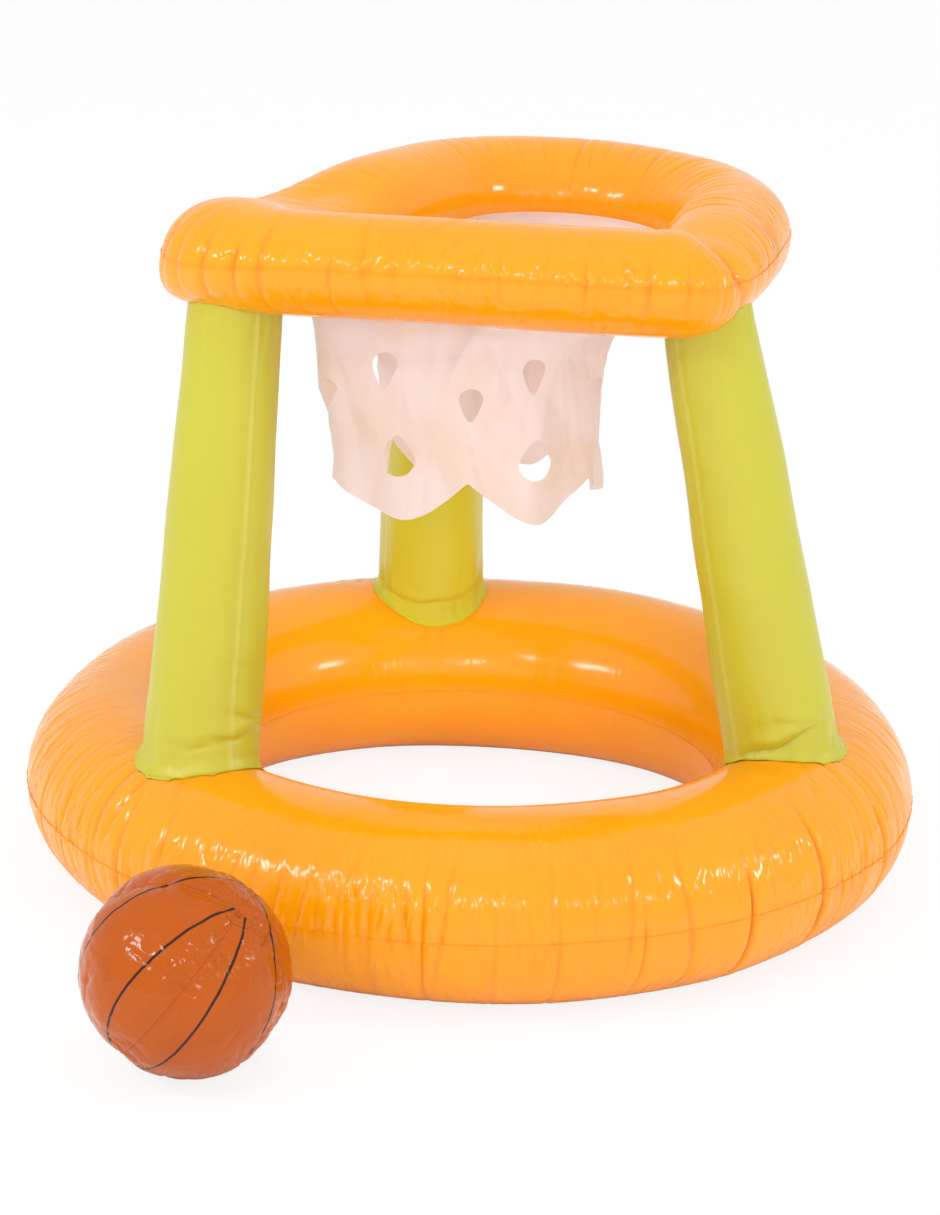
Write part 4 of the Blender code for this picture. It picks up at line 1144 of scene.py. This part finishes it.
def make_ball(material):
    s = sizes()
    choose()
    bpy.ops.mesh.primitive_uv_sphere_add(segments=BALL_SEGMENTS, ring_count=BALL_SEGMENTS // 2,
                                         radius=s.ball_radius)
    ball = bpy.context.object
    co = np.empty(len(ball.data.vertices) * 3, np.float32)
    ball.data.vertices.foreach_get("co", co)
    co = co.reshape(-1, 3).astype(float)
    unit = co / np.linalg.norm(co, axis=1, keepdims=True)
    faces = np.array([polygon.center for polygon in ball.data.polygons])
    face_turn = np.arctan2(faces[:, 1], faces[:, 0]) % (2 * math.pi)
    face_lift = np.degrees(np.arcsin(faces[:, 2] / np.linalg.norm(faces, axis=1)))
    reach = s.ball_radius + ball_folds(np.random.default_rng(SEEDS["ball"]), unit)
    normals = unit @ np.array(ball_axes()).T
    co = normals * reach[:, None] + np.array(ball_middle())
    co[:, 2] = np.maximum(co[:, 2], FLOOR_GAP)
    seat_valve(co, normals, "ball", [f"ball_gore_{gore + 1}" for gore in range(4)])
    set_points(ball, co)
    centre = ball_middle()
    for gore in range(4):
        film = cut_film(ball, (face_turn // (math.pi / 2)).astype(int) == gore, centre)
        solidify(film, s.film)
        finish_piece(film, f"ball_gore_vinyl_{gore + 1}", material, "ball", "brown_ball_vinyl",
                     f"ball_gore_{gore + 1}")
    for name, sign in (("upper", 1), ("lower", -1)):
        patch = cut_film(ball, face_lift * sign > BALL_PATCH_LIFT, centre)
        solidify(patch, s.film + BALL_PATCH_EXTRA)
        finish_piece(patch, f"ball_{name}_pole_vinyl", material, "ball", "brown_ball_vinyl",
                     f"ball_{name}_pole_patch")
    bpy.data.objects.remove(ball)


# Materials

def ring_vinyl():
    """Calendered PVC film, glossy, drawn tight by air. Fine puckers cross its welds, and painted shade
    darkens its creases.
    """
    material, tree, shader = new_material(
        "glossy_pvc_film_orange", Roughness=0.16, IOR=1.46, Subsurface_Weight=0.15,
        Subsurface_Radius=(1.0, 0.45, 0.10), Subsurface_Scale=0.010)
    uv = add_node(tree, "ShaderNodeUVMap", {"uv_map": "UVMap"}).outputs["UV"]
    place = object_place(tree)
    # Creases about 8 mm apart that run 30 mm across the tube: sharp where the noise turns over
    lines = add_node(tree, "ShaderNodeMapping", Vector=uv, Scale=(95, 30, 1)).outputs["Vector"]
    pucker = noise(tree, lines, 1.0, 1.5)
    pucker = math_node(tree, "ABSOLUTE", math_node(tree, "SUBTRACT", pucker, 0.5))
    near = math_node(tree, "MULTIPLY", attribute(tree, "near_seam"), pucker)
    # They come in clusters about 40 mm across, with smooth film between
    cluster = stretch(tree, noise(tree, place, 24.0, 0.0), 0.40, 0.62, To_Min=0.25, To_Max=1.5)
    near = math_node(tree, "MULTIPLY", near, cluster)
    # Slow ripples of the stretched film, about 25 mm
    height = math_node(tree, "MULTIPLY_ADD", noise(tree, place, 36.0, 1.0), 0.14, near)
    bump_shader(tree, shader, height, 0.9, 0.0048)
    # Painted shade: the film turns a deeper orange in its creases, by their depth, with a faint random tint
    # of that colour elsewhere
    tint = stretch(tree, noise(tree, place, 9.0, 2.0), 0.35, 0.75, To_Max=0.2)
    share = math_node(tree, "MULTIPLY_ADD", attribute(tree, "crease_shade_depth"), 0.8, tint, clamp=True)
    colour = mix_colours(tree, share, linear(colours().ring), linear(colours().ring_shade_and_tint))
    tree.links.new(colour, shader.inputs["Base Color"])
    return material


def leg_vinyl():
    """The same film in yellow-green, a little less glossy, with a paler weld down each side."""
    material, tree, shader = new_material(
        "satin_pvc_film_yellow_green", Roughness=0.36, IOR=1.53, Subsurface_Weight=0.12,
        Subsurface_Radius=(0.8, 1.0, 0.2), Subsurface_Scale=0.010)
    place = object_place(tree)
    bump_shader(tree, shader, noise(tree, place, 70.0, 2.0), 0.45, 0.0009)
    share = stretch(tree, noise(tree, place, 14.0, 3.0), 0.35, 0.75, To_Max=0.4)
    colour = mix_colours(tree, share, linear(colours().leg), linear(colours().leg_fold))
    pale = math_node(tree, "MULTIPLY", attribute(tree, "weld_line"), 0.2)
    colour = mix_colours(tree, pale, colour, linear(colours().leg_weld))
    tree.links.new(colour, shader.inputs["Base Color"])
    return material


def net_vinyl():
    """Thin milky film, soft and see-through, creased from its packing."""
    material, tree, shader = new_material("thin_milky_pvc_film", Roughness=0.32, IOR=1.50, Alpha=0.88)
    place = object_place(tree)
    normal = bump_shader(tree, shader, noise(tree, place, 60.0, 3.0), 0.5, 0.0010)
    # Painted shade: warmer patches at random, standing in for the shading of the net's layered facets
    share = stretch(tree, noise(tree, place, 17.0, 1.0), 0.48, 0.66)
    colour = mix_colours(tree, share, linear(colours().net), linear(colours().net_shade_patch))
    tree.links.new(colour, shader.inputs["Base Color"])
    # Light from behind comes through the film
    through = add_node(tree, "ShaderNodeBsdfTranslucent", Color=colour, Normal=normal)
    mix = add_node(tree, "ShaderNodeMixShader", i0=0.50, i1=shader.outputs[0], i2=through.outputs[0])
    link_surface(tree, mix)
    return material


# The ball's printed lines lie in planes. Each has a normal in the ball's own axes, a distance in
# ball radii, and the side on which it is printed: a direction, and how far over the middle.
BALL_LINES = (
    ((-0.766, -0.579, -0.278), 0.190, (0, 0, 1), -0.60),
    ((0.487, 0.848, 0.208), 0.141, (0.868, -0.497, 0), 0.02),
    ((-0.312, 0.949, -0.048), 0.015, (0.950, 0.312, 0), 0.02),
    ((-0.739, 0.674, 0.013), 0.350, (0, 0, 1), 0.03),
)
BALL_LINE_WIDTH = 0.0018


def plane_distance(tree, place, normal, offset, flip=False, clamp=False):
    """How far a place lies over a plane, or under it when flipped."""
    dot = add_node(tree, "ShaderNodeVectorMath", {"operation": "DOT_PRODUCT"}, i0=place, i1=normal)
    values = (dot.outputs["Value"], offset)
    return math_node(tree, "SUBTRACT", *(reversed(values) if flip else values), clamp=clamp)


def ball_vinyl():
    """Printed glossy PVC film, brown, with thin black lines."""
    material, tree, shader = new_material("printed_pvc_film_brown", Roughness=0.14, IOR=1.40,
                                          Specular_IOR_Level=0.4)
    place = object_place(tree)
    bump_shader(tree, shader, noise(tree, place, 85.0, 2.0), 0.7, 0.0016)
    share = stretch(tree, noise(tree, place, 30.0, 3.0), 0.35, 0.75, To_Max=0.5)
    ground = mix_colours(tree, share, linear(colours().ball), linear(colours().ball_dark))
    axes, middle, radius = ball_axes(), ball_middle(), sizes().ball_radius
    nearest = 1.0
    for normal, distance, side, reach in BALL_LINES:
        normal, side = axes @ Vector(normal).normalized(), axes @ Vector(side).normalized()
        away = plane_distance(tree, place, normal, normal.dot(middle) + distance * radius)
        end = plane_distance(tree, place, side, side.dot(middle) + reach * radius, flip=True, clamp=True)
        far = math_node(tree, "ADD", math_node(tree, "ABSOLUTE", away), end)
        nearest = math_node(tree, "MINIMUM", nearest, far)
    ink = stretch(tree, nearest, 0.62 * BALL_LINE_WIDTH, 0.42 * BALL_LINE_WIDTH, To_Max=0.95)
    colour = mix_colours(tree, ink, ground, linear(colours().ball_line))
    tree.links.new(colour, shader.inputs["Base Color"])
    return material


def valve_vinyl():
    """Moulded soft PVC, clear-white, with a faint sink in its surface."""
    material, tree, shader = new_material(
        "moulded_soft_pvc", Base_Color=linear(colours().valve), Roughness=0.38, IOR=1.53,
        Subsurface_Weight=0.2, Subsurface_Radius=(1.0, 0.9, 0.8), Subsurface_Scale=0.004)
    bump_shader(tree, shader, noise(tree, object_place(tree), 400.0, 2.0), 0.2, 0.0004)
    return material


# Operators

class BaseRing(bpy.types.Operator):
    """Two films welded into the ring that floats, with puckers across the welds"""
    bl_idname = "vinyl.base_ring"
    bl_label = "Base ring"

    def execute(self, context):
        make_film_pair("base", *base_points(), sizes().base_half_width, ring_vinyl())
        return {"FINISHED"}


class HoopRing(bpy.types.Operator):
    """The rounded-triangle ring on top, creased where its sides meet the front corners"""
    bl_idname = "vinyl.hoop_ring"
    bl_label = "Hoop ring"

    def execute(self, context):
        material = bpy.data.materials["glossy_pvc_film_orange"]
        make_film_pair("hoop", *hoop_points(), sizes().hoop_half_width, material)
        return {"FINISHED"}


class LegTubes(bpy.types.Operator):
    """Three inflated legs and the welds that hold their feet on the base"""
    bl_idname = "vinyl.legs"
    bl_label = "Legs"

    def execute(self, context):
        base_tree = surface_tree([bpy.data.objects["base_upper_vinyl"]])
        hoop_tree = surface_tree([bpy.data.objects["hoop_lower_vinyl"]])
        material = leg_vinyl()
        for index in range(3):
            make_leg(index, base_tree, hoop_tree, material)
            make_foot_weld(index, base_tree, material)
        return {"FINISHED"}


class FilmNet(bpy.types.Operator):
    """The scalloped film net with its rows of teardrop holes"""
    bl_idname = "vinyl.net"
    bl_label = "Net"

    def execute(self, context):
        make_net(net_vinyl())
        return {"FINISHED"}


class Ball(bpy.types.Operator):
    """The inflated ball, welded from four printed gores"""
    bl_idname = "vinyl.ball"
    bl_label = "Ball"

    def execute(self, context):
        make_ball(ball_vinyl())
        return {"FINISHED"}


def repaint(name, material):
    """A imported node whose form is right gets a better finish."""
    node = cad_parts[name]
    node.data.materials.clear()
    node.data.materials.append(material)


class Valves(bpy.types.Operator):
    """Moulded air valves and their stoppers, kept from the frame with a soft vinyl finish"""
    bl_idname = "vinyl.valves"
    bl_label = "Valves"

    def execute(self, context):
        material = valve_vinyl()
        for prefix in ("base", "hoop", "ball"):
            repaint(f"{prefix}_valve", material)
            repaint(f"{prefix}_valve_stopper", material)
        return {"FINISHED"}


# Lamps where the photograph's highlights point back to: place, size and power
LAMPS = (
    ("left_softbox", (-2.0, -0.75, 1.45), (0.70, 0.16), 10.0),
    ("upper_left_softbox", (-1.35, -1.60, 1.75), (0.30, 0.14), 6.0),
    ("camera_softbox", (-0.45, -2.75, 1.52), (0.30, 0.10), 4.8),
    ("right_front_softbox", (1.4, -2.6, 1.25), (0.25, 0.12), 2.8),
    ("right_softbox", (2.3, -0.9, 1.35), (0.40, 0.20), 7.5),
)
# The camera was fitted to the photograph. Its angles are in radians, and its place is counted
# from the base ring's middle on the floor
CAMERA_PLACE = (-0.4435, -2.8982, 1.1700)
CAMERA_TURN = math.radians(8.7)
CAMERA_PITCH = 0.32004
CAMERA_YAW = -0.00153
CAMERA_ROLL = 0.03115
CAMERA_FOCUS = 4113.95 / 1215  # in heights of the picture
CAMERA_SENSOR = 36
WORLD_STRENGTH = 0.86  # of what lights the toy; the camera sees plain white
FLOOR_GLOW = 0.85      # share of its own light in what the camera sees of the floor


class Studio(bpy.types.Operator):
    """Camera, soft lamps, pale floor and world"""
    bl_idname = "vinyl.studio"
    bl_label = "Studio"

    def execute(self, context):
        self.add_camera(context.scene)
        context.scene.view_settings.view_transform = "Standard"
        for name, place, size, power in LAMPS:
            self.add_lamp(name, place, size, power)
        # The large ones only fill: the photograph's highlights are small
        self.add_lamp("top_softbox", (0.2, -0.6, 3.0), (1.5, 1.5), 14).visible_glossy = False
        self.add_lamp("front_softbox", (0.3, -6.0, 1.6), (4.5, 2.6), 34).visible_glossy = False
        # A low one behind the front legs stands in for the light that the pale floor sends to the back
        low = self.add_lamp("hole_softbox", (0.0, -0.02, 0.19), (0.20, 0.08), 0.085, aim=(0.0, 0.30, 0.13))
        low.visible_glossy = False
        low.data.spread = math.radians(80)
        self.add_world(context.scene)
        self.add_floor()
        return {"FINISHED"}

    def add_camera(self, scene):
        data = bpy.data.cameras.new("photo_camera")
        data.sensor_width = CAMERA_SENSOR
        data.lens = CAMERA_FOCUS * CAMERA_SENSOR
        data.clip_end = 50
        camera = bpy.data.objects.new("photo_camera", data)
        yaw, pitch = CAMERA_YAW, CAMERA_PITCH
        forward = Vector((math.sin(yaw) * math.cos(pitch), math.cos(yaw) * math.cos(pitch), -math.sin(pitch)))
        right = Vector((math.cos(yaw), -math.sin(yaw), 0))
        up = right.cross(forward)
        right, up = (math.cos(CAMERA_ROLL) * right + math.sin(CAMERA_ROLL) * up,
                     -math.sin(CAMERA_ROLL) * right + math.cos(CAMERA_ROLL) * up)
        turn = Matrix.Rotation(-CAMERA_TURN, 3, "Z")
        axes = turn @ Matrix((right, up, -forward)).transposed()
        place = Vector(CAMERA_PLACE) + Vector((*BASE_MIDDLE, 0))
        camera.matrix_world = Matrix.Translation(place) @ axes.to_4x4()
        scene.collection.objects.link(camera)
        scene.camera = camera

    def add_lamp(self, name, place, size, power, aim=(0, 0, 0.25)):
        data = bpy.data.lights.new(name, "AREA")
        data.shape = "RECTANGLE"
        data.size, data.size_y = size
        data.energy = power
        lamp = bpy.data.objects.new(name, data)
        lamp.location = place
        lamp.rotation_euler = (Vector(aim) - Vector(place)).to_track_quat("-Z", "Y").to_euler()
        lamp.visible_camera = False
        bpy.context.scene.collection.objects.link(lamp)
        return lamp

    def add_world(self, scene):
        world = bpy.data.worlds.new("white_studio")
        world.use_nodes = True
        scene.world = world
        tree = world.node_tree
        tree.nodes.clear()
        path = add_node(tree, "ShaderNodeLightPath").outputs
        seen = math_node(tree, "MAXIMUM", path["Is Camera Ray"], path["Is Transmission Ray"])
        dim = add_node(tree, "ShaderNodeBackground", Color=(1, 1, 1, 1), Strength=WORLD_STRENGTH)
        white = add_node(tree, "ShaderNodeBackground", Color=linear(colours().floor), Strength=1.0)
        mix = add_node(tree, "ShaderNodeMixShader", i0=seen, i1=dim.outputs[0], i2=white.outputs[0])
        add_node(tree, "ShaderNodeOutputWorld", Surface=mix.outputs[0])

    def add_floor(self):
        choose()
        bpy.ops.mesh.primitive_plane_add(size=30, location=(0, 0, -0.0004))
        floor = bpy.context.object
        floor.name = "studio_floor"
        material, tree, shader = new_material("pale_studio_floor")
        tree.nodes.remove(shader)
        path = add_node(tree, "ShaderNodeLightPath").outputs
        share = math_node(tree, "MULTIPLY", path["Is Camera Ray"], FLOOR_GLOW)
        diffuse = add_node(tree, "ShaderNodeBsdfDiffuse", Color=linear(colours().floor))
        white = add_node(tree, "ShaderNodeEmission", Color=linear(colours().floor), Strength=1.0)
        link_surface(tree, add_node(tree, "ShaderNodeMixShader", i0=share, i1=diffuse.outputs[0],
                                    i2=white.outputs[0]))
        floor.data.materials.append(material)


class PoolToyPanel(bpy.types.Panel):
    """Lists the toy's pieces in the sidebar"""
    bl_idname = "VIEW3D_PT_pool_toy"
    bl_label = "Pool toy"
    bl_space_type = "VIEW_3D"
    bl_region_type = "UI"
    bl_category = "Pool toy"

    def draw(self, context):
        for operator in PIECES:
            self.layout.operator(operator.bl_idname)
        for group in (context.scene.vinyl_sizes, context.scene.vinyl_colours):
            for name in group.bl_rna.properties.keys():
                if name not in ("rna_type", "name"):
                    self.layout.prop(group, name)


PIECES = (Studio, BaseRing, HoopRing, LegTubes, FilmNet, Ball, Valves)
CLASSES = (VinylSizes, VinylColours, *PIECES, PoolToyPanel)


def register():
    for each in CLASSES:
        bpy.utils.register_class(each)
    bpy.types.Scene.vinyl_sizes = PointerProperty(type=VinylSizes)
    bpy.types.Scene.vinyl_colours = PointerProperty(type=VinylColours)


def unregister():
    del bpy.types.Scene.vinyl_colours
    del bpy.types.Scene.vinyl_sizes
    for each in reversed(CLASSES):
        bpy.utils.unregister_class(each)


def main():
    register()
    bpy.ops.vinyl.studio()
    bpy.ops.vinyl.base_ring()
    bpy.ops.vinyl.hoop_ring()
    bpy.ops.vinyl.legs()
    bpy.ops.vinyl.net()
    bpy.ops.vinyl.ball()
    bpy.ops.vinyl.valves()
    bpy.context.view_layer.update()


if __name__ == "__main__":
    main()
